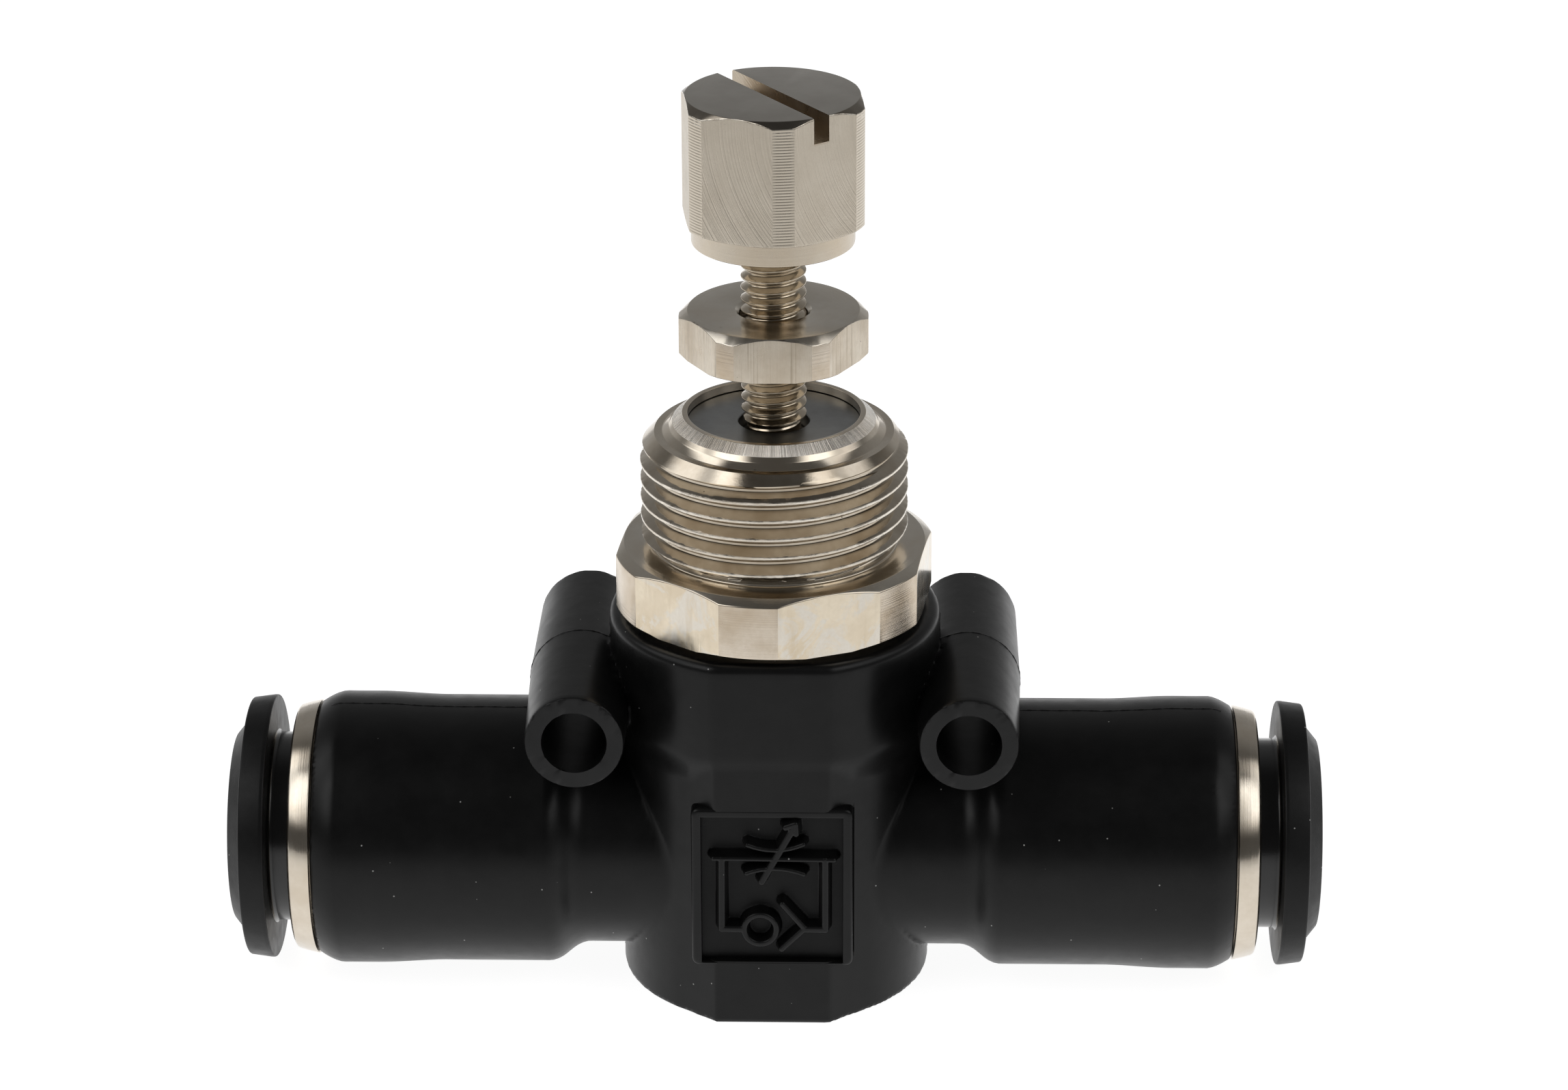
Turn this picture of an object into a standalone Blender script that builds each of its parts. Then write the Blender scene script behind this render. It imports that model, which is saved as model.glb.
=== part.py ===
"""In-line one-way flow control valve with two push-in tube ports.

Frame: metres, +Z up. The valve stands on the flat bottom of its barrel. The origin is
the centre of that flat, +X runs along the tube ports and -Y is the side with the symbol panel.
The needle axis is the Z axis, and the ports share one axis along X at height PORT_Z.
"""

import math

import bmesh
import bpy

MM = 0.001
OBJECT_NAME = "flow_control_valve"

# ---------------------------------------------------------------- driving dimensions (mm)
# body
PORT_Z = 7.42            # height of the port axis above the flat bottom
BARREL_R = 8.15          # lower barrel
BARREL_FLAT_Y = 8.02     # front and back flats of the lower barrel
BARREL_FLAT_HALF = 2.95  # half width of those flats
COLLAR_R = 8.66          # upper collar
COLLAR_FLAT_Y = 8.08     # front and back faces of the collar and of the mounting tubes
COLLAR_Z0 = 14.90
COLLAR_Z1 = 15.35
BODY_TOP_Z = 20.65
NECK_R = 6.05            # arm neck beside the barrel
ARM_R = 7.10             # arm next to the neck
ARM_END_R = 7.26         # arm over the tube cartridge
ARM_END_X = 24.25
BOSS_X = 10.16           # mounting tubes: half of their spacing
BOSS_Z = 16.25
BOSS_R_END = 2.56
BOSS_R_MID = 2.73        # draft from the mould's parting plane
BOSS_HOLE_R = 1.69
PAD_HALF_X = 4.20        # raised panel on the front
PAD_Z0, PAD_Z1 = 3.40, 12.40
PAD_Y = 8.06
RECESS_HALF_X = 3.68
RECESS_Z0, RECESS_Z1 = 3.62, 12.02
RECESS_DEPTH = 0.56
# valve cavity
BUSH_BORE_R = 7.08
BUSH_BORE_Z = 13.30
CHAMBER_R = 5.00
SEAT_LEDGE_Z = 7.00
SUMP_R = 3.40
SUMP_Z = 2.00
LOW_PASSAGE_R, LOW_PASSAGE_Z = 1.50, 5.30
HIGH_PASSAGE_R, HIGH_PASSAGE_Z = 1.60, 9.40
# tube port
CARTRIDGE_R = 6.20
CARTRIDGE_X = 16.30
TUBE_BORE_R = 4.06       # 8 mm tube
TUBE_STOP_X = 11.00
# panel bush: M14 x 1 thread, 16 mm hexagon with turned corners
THREAD_R = 6.90
SPIGOT_R = 7.00
HEX_AF = 15.80
HEX_TURN_R = 8.38
HEX_Z0, HEX_Z1 = 21.05, 24.35
HEX_TOP_R = 7.85
BUSH_TOP_Z = 31.50
HEX_TURN_DEG = -8.0      # front corner, from the camera side towards +X
# needle, nut and knob: M3.5 x 0.6
STEM_R = 1.67
STEM_HOLE_R = 1.90
NUT_Z0, NUT_Z1 = 34.73, 37.12
NUT_AF = 8.95
NUT_TURN_R = 4.88
NUT_TURN_DEG = 30.0
KNOB_Z0 = 40.85          # underside of the knob's collar
KNOB_HEX_Z0 = 42.03
KNOB_TOP_Z = 48.65
KNOB_COLLAR_R = 4.19
KNOB_AF = 8.95
KNOB_TURN_R = 4.86
KNOB_TURN_DEG = 7.7
SLOT_WIDTH = 0.94
SLOT_DEPTH = 1.35
SLOT_DEG = 34.6          # slot direction, from the camera side towards +X
# release collet
COLLET_END_X = 28.80
COLLET_RIM_X = 28.05
COLLET_FACE_X = 26.60
COLLET_FLANGE_R = 7.05
COLLET_NECK_R = 5.04
COLLET_BORE_R = 4.10
RING_END_X = 25.45

ROUND = 40               # facets of the large turned pieces
FINE = 28                # facets of the small ones


# ---------------------------------------------------------------- scene and helpers
for old in list(bpy.data.objects):
    bpy.data.objects.remove(old, do_unlink=True)

parts = bpy.data.collections.new(OBJECT_NAME)
cutters = bpy.data.collections.new(OBJECT_NAME + "_cutters")
bpy.context.scene.collection.children.link(parts)
bpy.context.scene.collection.children.link(cutters)


def material(name, colour, roughness, metallic):
    mat = bpy.data.materials.new(name)
    mat.use_nodes = True
    shader = mat.node_tree.nodes["Principled BSDF"]
    shader.inputs["Base Color"].default_value = (*colour, 1.0)
    shader.inputs["Roughness"].default_value = roughness
    shader.inputs["Metallic"].default_value = metallic
    mat.diffuse_color = (*colour, 1.0)
    return mat


BODY_BLACK = material("moulded_black", (0.018, 0.019, 0.020), 0.50, 0.0)
COLLET_BLACK = material("collet_black", (0.020, 0.021, 0.022), 0.45, 0.0)
NICKEL = material("nickel_plate", (0.66, 0.62, 0.55), 0.28, 1.0)
STEEL = material("stainless", (0.60, 0.60, 0.60), 0.25, 1.0)
RUBBER = material("nitrile_rubber", (0.015, 0.015, 0.016), 0.60, 0.0)
ACETAL = material("white_acetal", (0.78, 0.77, 0.74), 0.45, 0.0)


def keep(obj, mat):
    obj.data.materials.append(mat)
    parts.objects.link(obj)
    return obj


def tool(obj, group=None):
    obj.hide_render = True
    obj.display_type = "WIRE"
    (group or cutters).objects.link(obj)
    return obj


def tool_group(name):
    group = bpy.data.collections.new(name)
    cutters.children.link(group)
    return group


def smooth(mesh):
    mesh.shade_smooth()
    mesh.set_sharp_from_angle(angle=math.radians(30))


def turned(name, profile, steps, closed=True):
    """A profile of (radius, height) points, outer side first and from the top down, turned about local Z."""
    chain = bpy.data.meshes.new(name + "_profile")
    count = len(profile)
    edges = [(i, i + 1) for i in range(count - 1)]
    if closed:
        edges.append((count - 1, 0))
    chain.from_pydata([(r * MM, 0.0, z * MM) for r, z in profile], edges, [])
    guide = bpy.data.objects.new(name + "_profile", chain)
    bpy.context.scene.collection.objects.link(guide)
    screw = guide.modifiers.new("Turn", "SCREW")
    screw.axis = "Z"
    screw.angle = 2 * math.pi
    screw.steps = screw.render_steps = steps
    screw.use_merge_vertices = True
    screw.merge_threshold = 1e-6
    bpy.context.view_layer.update()
    graph = bpy.context.evaluated_depsgraph_get()
    mesh = bpy.data.meshes.new_from_object(guide.evaluated_get(graph))
    mesh.name = name
    smooth(mesh)
    bpy.data.objects.remove(guide, do_unlink=True)
    bpy.data.meshes.remove(chain)
    return bpy.data.objects.new(name, mesh)


def extruded(name, outline, z0, z1):
    """A closed (x, y) outline between two heights."""
    curve = bpy.data.curves.new(name, "CURVE")
    curve.dimensions = "2D"
    curve.fill_mode = "BOTH"
    curve.extrude = 0.5 * (z1 - z0) * MM
    spline = curve.splines.new("POLY")
    spline.points.add(len(outline) - 1)
    for point, (x, y) in zip(spline.points, outline):
        point.co = (x * MM, y * MM, 0.0, 1.0)
    spline.use_cyclic_u = True
    guide = bpy.data.objects.new(name + "_outline", curve)
    bpy.context.scene.collection.objects.link(guide)
    bpy.context.view_layer.update()
    graph = bpy.context.evaluated_depsgraph_get()
    mesh = bpy.data.meshes.new_from_object(guide.evaluated_get(graph))
    mesh.name = name
    bm = bmesh.new()
    bm.from_mesh(mesh)
    bmesh.ops.remove_doubles(bm, verts=bm.verts, dist=1e-6)
    bmesh.ops.translate(bm, verts=bm.verts, vec=(0.0, 0.0, 0.5 * (z0 + z1) * MM))
    bmesh.ops.recalc_face_normals(bm, faces=bm.faces)
    bm.to_mesh(mesh)
    bm.free()
    smooth(mesh)
    bpy.data.objects.remove(guide, do_unlink=True)
    return bpy.data.objects.new(name, mesh)


def box(name, low, high):
    bm = bmesh.new()
    bmesh.ops.create_cube(bm, size=1.0)
    for v in bm.verts:
        v.co = [(a + (c + 0.5) * (b - a)) * MM for a, b, c in zip(low, high, v.co)]
    mesh = bpy.data.meshes.new(name)
    bm.to_mesh(mesh)
    bm.free()
    return bpy.data.objects.new(name, mesh)


def rod(name, radius, length, steps):
    """A cylinder from the origin along local +Z."""
    bm = bmesh.new()
    bmesh.ops.create_cone(bm, cap_ends=True, segments=steps, radius1=radius * MM, radius2=radius * MM, depth=length * MM)
    bmesh.ops.translate(bm, verts=bm.verts, vec=(0.0, 0.0, 0.5 * length * MM))
    mesh = bpy.data.meshes.new(name)
    bm.to_mesh(mesh)
    bm.free()
    smooth(mesh)
    return bpy.data.objects.new(name, mesh)


def hex_prism(name, across_flats, z0, z1, corner_deg):
    """A hexagonal prism about Z with one corner at corner_deg from -Y towards +X."""
    bm = bmesh.new()
    radius = 0.5 * across_flats / math.cos(math.radians(30)) * MM
    bmesh.ops.create_cone(bm, cap_ends=True, segments=6, radius1=radius, radius2=radius, depth=(z1 - z0) * MM)
    first = max(bm.verts, key=lambda v: (v.co.x, v.co.y))
    turn = math.radians(corner_deg - 90) - math.atan2(first.co.y, first.co.x)
    c, s = math.cos(turn), math.sin(turn)
    for v in bm.verts:
        x, y = v.co.x, v.co.y
        v.co = (c * x - s * y, s * x + c * y, v.co.z + 0.5 * (z0 + z1) * MM)
    mesh = bpy.data.meshes.new(name)
    bm.to_mesh(mesh)
    bm.free()
    return bpy.data.objects.new(name, mesh)


def ring(name, major, minor, z, steps, sides):
    """A round-section ring about Z."""
    profile = []
    for i in range(sides):
        a = -2 * math.pi * i / sides
        profile.append((major + minor * math.cos(a), z + minor * math.sin(a)))
    return turned(name, profile, steps)


def boolean(obj, other, operation):
    """Combines an object with another one, or with all those of a group of tools at once."""
    mod = obj.modifiers.new(other.name, "BOOLEAN")
    mod.operation = operation
    mod.solver = "EXACT"
    if isinstance(other, bpy.types.Collection):
        mod.operand_type = "COLLECTION"
        mod.collection = other
    else:
        mod.object = other


def empty(name, location, rotation=(0.0, 0.0, 0.0)):
    axis = bpy.data.objects.new(name, None)
    axis.location = [c * MM for c in location]
    axis.rotation_euler = rotation
    axis.empty_display_size = 0.01
    parts.objects.link(axis)
    return axis


def lie_along_x(obj, side, z):
    """Turns local +Z to +X (side 1) or -X (side -1), on the axis at height z."""
    obj.rotation_euler = (0.0, side * math.pi / 2, 0.0)
    obj.location = (0.0, 0.0, z * MM)
    return obj


needle_axis = empty("needle_axis", (0, 0, 0))
port_axes = {
    "right": empty("right_port_axis", (0, 0, PORT_Z), (0.0, math.pi / 2, 0.0)),
    "left": empty("left_port_axis", (0, 0, PORT_Z), (0.0, -math.pi / 2, 0.0)),
}


# ---------------------------------------------------------------- body
def barrel_outline():
    """Circle of the barrel, pulled out along tangents to the front and back flats."""
    corner = math.atan2(BARREL_FLAT_HALF, BARREL_FLAT_Y)
    reach = math.hypot(BARREL_FLAT_HALF, BARREL_FLAT_Y)
    tangent = corner + math.acos(BARREL_R / reach)
    arc_steps = 13
    half = [(BARREL_FLAT_HALF, -BARREL_FLAT_Y)]
    for i in range(arc_steps + 1):
        a = tangent + (math.pi - 2 * tangent) * i / arc_steps
        half.append((BARREL_R * math.sin(a), -BARREL_R * math.cos(a)))
    half.append((BARREL_FLAT_HALF, BARREL_FLAT_Y))
    return half + [(-x, -y) for x, y in half]


def eased(a, b, t):
    return a + (b - a) * (3 * t * t - 2 * t * t * t)


def arm_profile():
    """Half of the arms' outline from the right end to the left: neck, shoulder and a slight swell at the port."""
    side = [(6.88, ARM_END_X), (7.15, 23.95), (ARM_END_R, 23.30), (ARM_END_R, 21.00)]
    for i in range(1, 3):
        t = i / 2
        side.append((eased(ARM_END_R, ARM_R, t), 21.00 - 3.2 * t))
    side.append((ARM_R, 12.50))
    for i in range(1, 6):
        t = i / 5
        side.append((eased(ARM_R, NECK_R, t), 12.50 - 2.3 * t))
    mirrored = [(r, -x) for r, x in reversed(side)]
    return [(0.0, ARM_END_X)] + side + mirrored + [(0.0, -ARM_END_X)]


body = keep(extruded("body", barrel_outline(), 0.0, COLLAR_Z0 + 0.2), BODY_BLACK)
bevel = body.modifiers.new("bottom_edge", "BEVEL")
bevel.width = 0.15 * MM
bevel.segments = 1
bevel.limit_method = "ANGLE"
bevel.angle_limit = math.radians(60)

body_added = tool_group("body_added")
body_removed = tool_group("body_removed")

tool(turned("collar", [
    (0.0, BODY_TOP_Z), (8.05, BODY_TOP_Z), (8.45, 20.55), (COLLAR_R, 20.15), (COLLAR_R, COLLAR_Z1),
    (8.20, COLLAR_Z0), (7.90, COLLAR_Z0 - 0.6), (0.0, COLLAR_Z0 - 0.6)], ROUND, closed=False), body_added)
tool(lie_along_x(turned("arms", arm_profile(), ROUND, closed=False), 1, PORT_Z), body_added)
tool(box("panel_pad", (-PAD_HALF_X, -PAD_Y, PAD_Z0), (PAD_HALF_X, -6.0, PAD_Z1)), body_added)
for side, sign in (("left", -1), ("right", 1)):
    boss = tool(turned(side + "_boss", [
        (0.0, 9.0), (BOSS_R_END - 0.02, 9.0), (BOSS_R_MID, 0.0), (BOSS_R_END - 0.02, -9.0), (0.0, -9.0)],
        FINE, closed=False), body_added)
    boss.rotation_euler = (math.pi / 2, 0.0, 0.0)
    boss.location = (sign * BOSS_X * MM, 0.0, BOSS_Z * MM)
boolean(body, body_added, "UNION")

for label, y0, y1 in (("front_face_cut", -12.0, -COLLAR_FLAT_Y), ("back_face_cut", COLLAR_FLAT_Y, 12.0)):
    tool(box(label, (-16.0, y0, 11.0), (16.0, y1, 24.0)), body_removed)
tool(box("panel_recess", (-RECESS_HALF_X, -9.0, RECESS_Z0), (RECESS_HALF_X, -PAD_Y + RECESS_DEPTH, RECESS_Z1)), body_removed)
tool(turned("valve_cavity", [
    (0.0, 22.0), (BUSH_BORE_R, 22.0), (BUSH_BORE_R, BUSH_BORE_Z), (CHAMBER_R, BUSH_BORE_Z), (CHAMBER_R, SEAT_LEDGE_Z),
    (SUMP_R, SEAT_LEDGE_Z), (SUMP_R, SUMP_Z), (0.0, SUMP_Z)], ROUND, closed=False), body_removed)
tool(lie_along_x(rod("low_passage", LOW_PASSAGE_R, 12.0, 20), -1, LOW_PASSAGE_Z), body_removed)
tool(lie_along_x(rod("high_passage", HIGH_PASSAGE_R, 12.0, 20), 1, HIGH_PASSAGE_Z), body_removed)
for side, sign in (("left", -1), ("right", 1)):
    tool(lie_along_x(turned(side + "_port_bore", [
        (0.0, 26.0), (CARTRIDGE_R, 26.0), (CARTRIDGE_R, CARTRIDGE_X), (TUBE_BORE_R, CARTRIDGE_X),
        (TUBE_BORE_R, TUBE_STOP_X), (0.0, TUBE_STOP_X)], ROUND, closed=False), sign, PORT_Z), body_removed)
    hole = tool(rod(side + "_mounting_hole", BOSS_HOLE_R, 24.0, FINE), body_removed)
    hole.rotation_euler = (math.pi / 2, 0.0, 0.0)
    hole.location = (sign * BOSS_X * MM, 12.0 * MM, BOSS_Z * MM)
boolean(body, body_removed, "DIFFERENCE")


# ---------------------------------------------------------------- panel bush and what it holds
chamfer_drop = (HEX_TURN_R - HEX_TOP_R) * math.tan(math.radians(30))
bush = keep(turned("panel_bush", [
    (4.95, BUSH_TOP_Z), (5.35, 31.08), (5.55, 30.72), (5.82, 30.47), (6.22, 30.47), (THREAD_R, 29.80),
    (THREAD_R, HEX_Z1), (HEX_TOP_R, HEX_Z1), (HEX_TURN_R, HEX_Z1 - chamfer_drop),
    (HEX_TURN_R, HEX_Z0), (SPIGOT_R, HEX_Z0), (SPIGOT_R, 16.70), (5.95, 16.70), (5.95, 15.30), (SPIGOT_R, 15.30),
    (SPIGOT_R, 13.90), (6.70, 13.60), (4.50, 13.60), (4.50, 15.70), (4.90, 15.70), (4.90, 31.05), (4.47, 31.05),
    (4.47, BUSH_TOP_Z)], ROUND), NICKEL)
boolean(bush, tool(hex_prism("bush_hexagon", HEX_AF, 10.0, 36.0, HEX_TURN_DEG)), "INTERSECT")

holder = keep(turned("needle_holder", [
    (4.84, 31.00), (4.84, 15.78), (2.60, 15.78), (2.60, 23.60), (1.78, 23.85), (1.78, 29.80), (STEM_HOLE_R, 29.95),
    (STEM_HOLE_R, 31.00)], FINE), NICKEL)

bush_ring = keep(ring("bush_o_ring", 6.48, 0.47, 16.00, ROUND, 8), RUBBER)

stem = keep(turned("needle_stem", [
    (0.0, 45.00), (1.42, 45.00), (STEM_R, 44.75), (STEM_R, 24.20), (1.35, 24.00), (1.35, 23.40), (2.52, 23.40),
    (2.52, 22.00), (1.75, 22.00), (1.75, 20.60), (2.52, 20.60), (2.52, 19.00), (1.50, 19.00), (1.50, 13.70),
    (0.55, 12.30), (0.0, 12.30)], FINE, closed=False), NICKEL)
needle_ring = keep(ring("needle_o_ring", 2.175, 0.37, 21.30, FINE, 8), RUBBER)

nut_drop = (NUT_TURN_R - 4.45) * math.tan(math.radians(35))
nut = keep(turned("lock_nut", [
    (4.45, NUT_Z1), (NUT_TURN_R, NUT_Z1 - nut_drop), (NUT_TURN_R, NUT_Z0), (1.95, NUT_Z0), (1.77, NUT_Z0 + 0.2),
    (1.77, NUT_Z1 - 0.2), (1.95, NUT_Z1)], FINE), NICKEL)
boolean(nut, tool(hex_prism("nut_hexagon", NUT_AF, 30.0, 40.0, NUT_TURN_DEG)), "INTERSECT")

knob_drop = (KNOB_TURN_R - 4.45) * math.tan(math.radians(35))
knob = keep(turned("adjuster_knob", [
    (0.0, KNOB_TOP_Z), (4.45, KNOB_TOP_Z), (KNOB_TURN_R, KNOB_TOP_Z - knob_drop), (KNOB_TURN_R, KNOB_HEX_Z0),
    (KNOB_COLLAR_R, KNOB_HEX_Z0), (KNOB_COLLAR_R, KNOB_Z0), (1.75, KNOB_Z0), (1.75, 45.10), (0.0, 45.10)], FINE, closed=False), NICKEL)
boolean(knob, tool(hex_prism("knob_hexagon", KNOB_AF, 38.0, 52.0, KNOB_TURN_DEG)), "INTERSECT")
slot = tool(box("knob_slot", (-0.5 * SLOT_WIDTH, -8.0, KNOB_TOP_Z - SLOT_DEPTH), (0.5 * SLOT_WIDTH, 8.0, KNOB_TOP_Z + 2.0)))
slot.rotation_euler = (0.0, 0.0, math.radians(SLOT_DEG))
boolean(knob, slot, "DIFFERENCE")

for piece in (stem, needle_ring, nut, knob):
    piece.parent = needle_axis

sleeve = keep(turned("seat_sleeve", [
    (2.10, 10.00), (2.10, 8.30), (4.90, 8.30), (4.90, 7.08), (1.35, 7.08), (1.35, 9.60), (1.70, 10.00)], FINE), ACETAL)
by_passes = tool_group("by_passes")
for i in range(6):
    angle = 2 * math.pi * (i + 0.5) / 6
    by_pass = tool(rod("by_pass_%d" % i, 0.42, 3.0, 10), by_passes)
    by_pass.location = (2.72 * math.cos(angle) * MM, 2.72 * math.sin(angle) * MM, 6.2 * MM)
boolean(sleeve, by_passes, "DIFFERENCE")

flap = keep(turned("check_lip_seal", [
    (2.65, 9.20), (4.55, 8.80), (4.55, 8.42), (2.20, 8.42), (2.20, 9.20)], FINE), RUBBER)


# ---------------------------------------------------------------- push-in ports
for side, axis in port_axes.items():
    guide = keep(turned(side + "_guide_ring", [
        (6.30, RING_END_X), (6.62, 25.38), (6.78, 25.10), (6.78, 24.33), (6.12, 24.33), (6.12, 20.00), (5.70, 20.00),
        (5.70, 22.90), (5.15, 23.40), (5.15, RING_END_X)], ROUND), NICKEL)
    collet = keep(turned(side + "_release_collet", [
        (4.75, COLLET_END_X), (6.20, COLLET_END_X), (COLLET_FLANGE_R, COLLET_RIM_X), (COLLET_FLANGE_R, COLLET_FACE_X),
        (COLLET_NECK_R, COLLET_FACE_X), (COLLET_NECK_R, 23.25), (5.50, 22.70), (5.50, 22.20), (4.70, 21.40),
        (COLLET_BORE_R, 21.40), (COLLET_BORE_R, 28.10)], ROUND), COLLET_BLACK)
    claws = keep(turned(side + "_claw_ring", [
        (6.10, 19.85), (6.10, 19.50), (5.25, 19.50), (4.25, 18.80), (4.20, 19.10), (5.15, 19.85)], FINE), STEEL)
    spacer = keep(turned(side + "_seal_spacer", [
        (6.10, 19.40), (6.10, 18.20), (4.25, 18.20), (4.25, 18.55), (4.60, 18.60), (5.30, 19.40)], FINE), ACETAL)
    seal = keep(turned(side + "_tube_seal", [
        (6.10, 18.10), (6.10, 16.45), (5.50, 16.45), (5.00, 17.10), (4.45, 16.60), (4.05, 16.90), (4.20, 18.10)], FINE), RUBBER)
    for piece in (guide, collet, claws, spacer, seal):
        piece.parent = axis
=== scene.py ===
"""Looks of the in-line flow control valve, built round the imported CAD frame. Lengths in the code are millimetres."""

import math

import bmesh
import bpy
import numpy as np
from mathutils import Matrix, Vector


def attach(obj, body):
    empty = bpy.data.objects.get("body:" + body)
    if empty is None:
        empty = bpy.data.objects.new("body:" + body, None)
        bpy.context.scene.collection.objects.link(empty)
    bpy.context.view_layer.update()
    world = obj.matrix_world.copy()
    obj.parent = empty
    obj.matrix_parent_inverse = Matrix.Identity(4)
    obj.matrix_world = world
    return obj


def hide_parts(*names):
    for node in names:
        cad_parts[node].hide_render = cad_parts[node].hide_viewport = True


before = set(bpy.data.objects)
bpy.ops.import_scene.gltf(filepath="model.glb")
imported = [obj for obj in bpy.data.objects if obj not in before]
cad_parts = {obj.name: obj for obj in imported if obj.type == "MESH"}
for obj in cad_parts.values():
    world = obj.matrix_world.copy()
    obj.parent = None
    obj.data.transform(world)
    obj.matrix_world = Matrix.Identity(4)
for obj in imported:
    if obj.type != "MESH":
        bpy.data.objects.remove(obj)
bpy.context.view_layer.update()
MM = 0.001


# ---------------------------------------------------------------- mesh helpers
def make_object(name, verts, faces, body, node=None, material=None, sharp=32.0, merge=True):
    """A closed piece from points in millimetres, riding on a CAD body."""
    mesh = bpy.data.meshes.new(name)
    mesh.from_pydata([tuple(v) for v in (np.asarray(verts, float) * MM).tolist()], [], [tuple(f) for f in faces])
    if merge:
        bm = bmesh.new()
        bm.from_mesh(mesh)
        bmesh.ops.remove_doubles(bm, verts=bm.verts, dist=2e-7)
        bmesh.ops.dissolve_degenerate(bm, edges=bm.edges, dist=1e-7)
        loose = [v for v in bm.verts if not v.link_faces]
        bmesh.ops.delete(bm, geom=loose, context="VERTS")
        bmesh.ops.recalc_face_normals(bm, faces=bm.faces)
        bm.to_mesh(mesh)
        bm.free()
    mesh.update()
    mesh.shade_smooth()
    mesh.set_sharp_from_angle(angle=math.radians(sharp))
    obj = bpy.data.objects.new(name, mesh)
    bpy.context.scene.collection.objects.link(obj)
    if material is not None:
        mesh.materials.append(material)
    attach(obj, body)
    if node:
        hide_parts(node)
    return obj


def even_shading(obj):
    """Large faces keep their own normal; only the narrow faces of a rounded edge bend the shading."""
    mod = obj.modifiers.new("even_shading", "WEIGHTED_NORMAL")
    mod.keep_sharp, mod.weight = True, 80


def crease_corners(obj, low, high):
    """Keeps the upright lines between a hexagon's flats and its turned corners crisp."""
    bm = bmesh.new()
    bm.from_mesh(obj.data)
    for edge in bm.edges:
        a, b = (v.co / MM for v in edge.verts)
        if min(a.z, b.z) > low and max(a.z, b.z) < high and len(edge.link_faces) == 2:
            if abs(b.z - a.z) > 0.9 * (b - a).length and edge.calc_face_angle(0.0) > math.radians(12):
                edge.smooth = False
    bm.to_mesh(obj.data)
    bm.free()


def rounded(points, radii, steps=3):
    """A polyline with the given corner radii; each rounded corner becomes steps + 1 points, however short its sides are."""
    points = [np.asarray(p, float) for p in points]
    out = []
    last = len(points) - 1
    for i, p in enumerate(points):
        radius = radii[i] if i < len(radii) else 0.0
        if radius <= 0 or i in (0, last):
            out.append(p)
            continue
        a, b = points[i - 1] - p, points[i + 1] - p
        la, lb = max(np.linalg.norm(a), 1e-9), max(np.linalg.norm(b), 1e-9)
        a, b = a / la, b / lb
        half = 0.5 * math.acos(max(-1.0, min(1.0, float(a @ b))))
        reach = min(radius / max(math.tan(half), 1e-6), 0.46 * la, 0.46 * lb)
        for k in range(steps + 1):
            t = k / steps
            # a quadratic arc between the two tangent points
            out.append(p + a * reach * (1 - t) ** 2 + b * reach * t**2)
    return out


def revolve(name, profile, body, node=None, material=None, segments=128, closed=True, axis="z", height=0.0, sharp=32.0, phase=0.0):
    """Turns (radius, length) points about Z, or about the port axis towards +X or -X."""
    profile = np.asarray(profile, float)
    count = len(profile)
    angle = phase + 2 * np.pi * np.arange(segments) / segments
    r, h = profile[:, 0][None, :], profile[:, 1][None, :]
    c, s = np.cos(angle)[:, None], np.sin(angle)[:, None]
    if axis == "z":
        grid = np.stack([r * s, -r * c, h + 0 * c], -1)
    else:
        sign = 1.0 if axis == "+x" else -1.0
        grid = np.stack([sign * h + 0 * c, r * s, height + r * c], -1)
    verts = grid.reshape(-1, 3)
    faces = []
    for j in range(segments):
        k = (j + 1) % segments
        for i in range(count if closed else count - 1):
            n = (i + 1) % count
            faces.append((j * count + i, k * count + i, k * count + n, j * count + n))
    return make_object(name, verts, faces, body, node, material, sharp)


def grid_faces(columns, rows, closed_columns=True, offset=0):
    faces = []
    for j in range(columns if closed_columns else columns - 1):
        k = (j + 1) % columns
        for i in range(rows - 1):
            faces.append((offset + j * rows + i, offset + k * rows + i, offset + k * rows + i + 1, offset + j * rows + i + 1))
    return faces


def ring_points(phi, r, z):
    """phi runs from the camera side towards +X."""
    return np.stack([r * np.sin(phi), -r * np.cos(phi), z], -1)


def hex_columns(across_flats, turn_radius, corner_deg, flat_steps=14, strip_steps=6):
    """Angles round a hexagon whose corners are turned off, and the outer radius at each."""
    half_strip = math.radians(30) - math.acos(0.5 * across_flats / turn_radius)
    phis, radii = [], []
    for k in range(6):
        corner = math.radians(corner_deg + 60 * k)
        for i in range(strip_steps):
            phis.append(corner - half_strip + 2 * half_strip * i / strip_steps)
            radii.append(turn_radius)
        span = math.radians(60) - 2 * half_strip
        for i in range(flat_steps):
            phi = corner + half_strip + span * i / flat_steps
            phis.append(phi)
            off = phi - (corner + math.radians(30))
            radii.append(min(turn_radius, 0.5 * across_flats / math.cos(off)))
    return np.array(phis), np.array(radii)


def ragged(s, seed):
    """Uneven number in about -1..1 along a helix, s in turns."""
    rng = np.random.RandomState(seed)
    out = 0.0
    for cycles in (9.3, 17.7, 29.1, 43.9, 61.3, 83.7, 109.9):
        out = out + 0.36 * np.sin(2 * math.pi * (cycles * s + rng.rand()))
    return out


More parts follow.
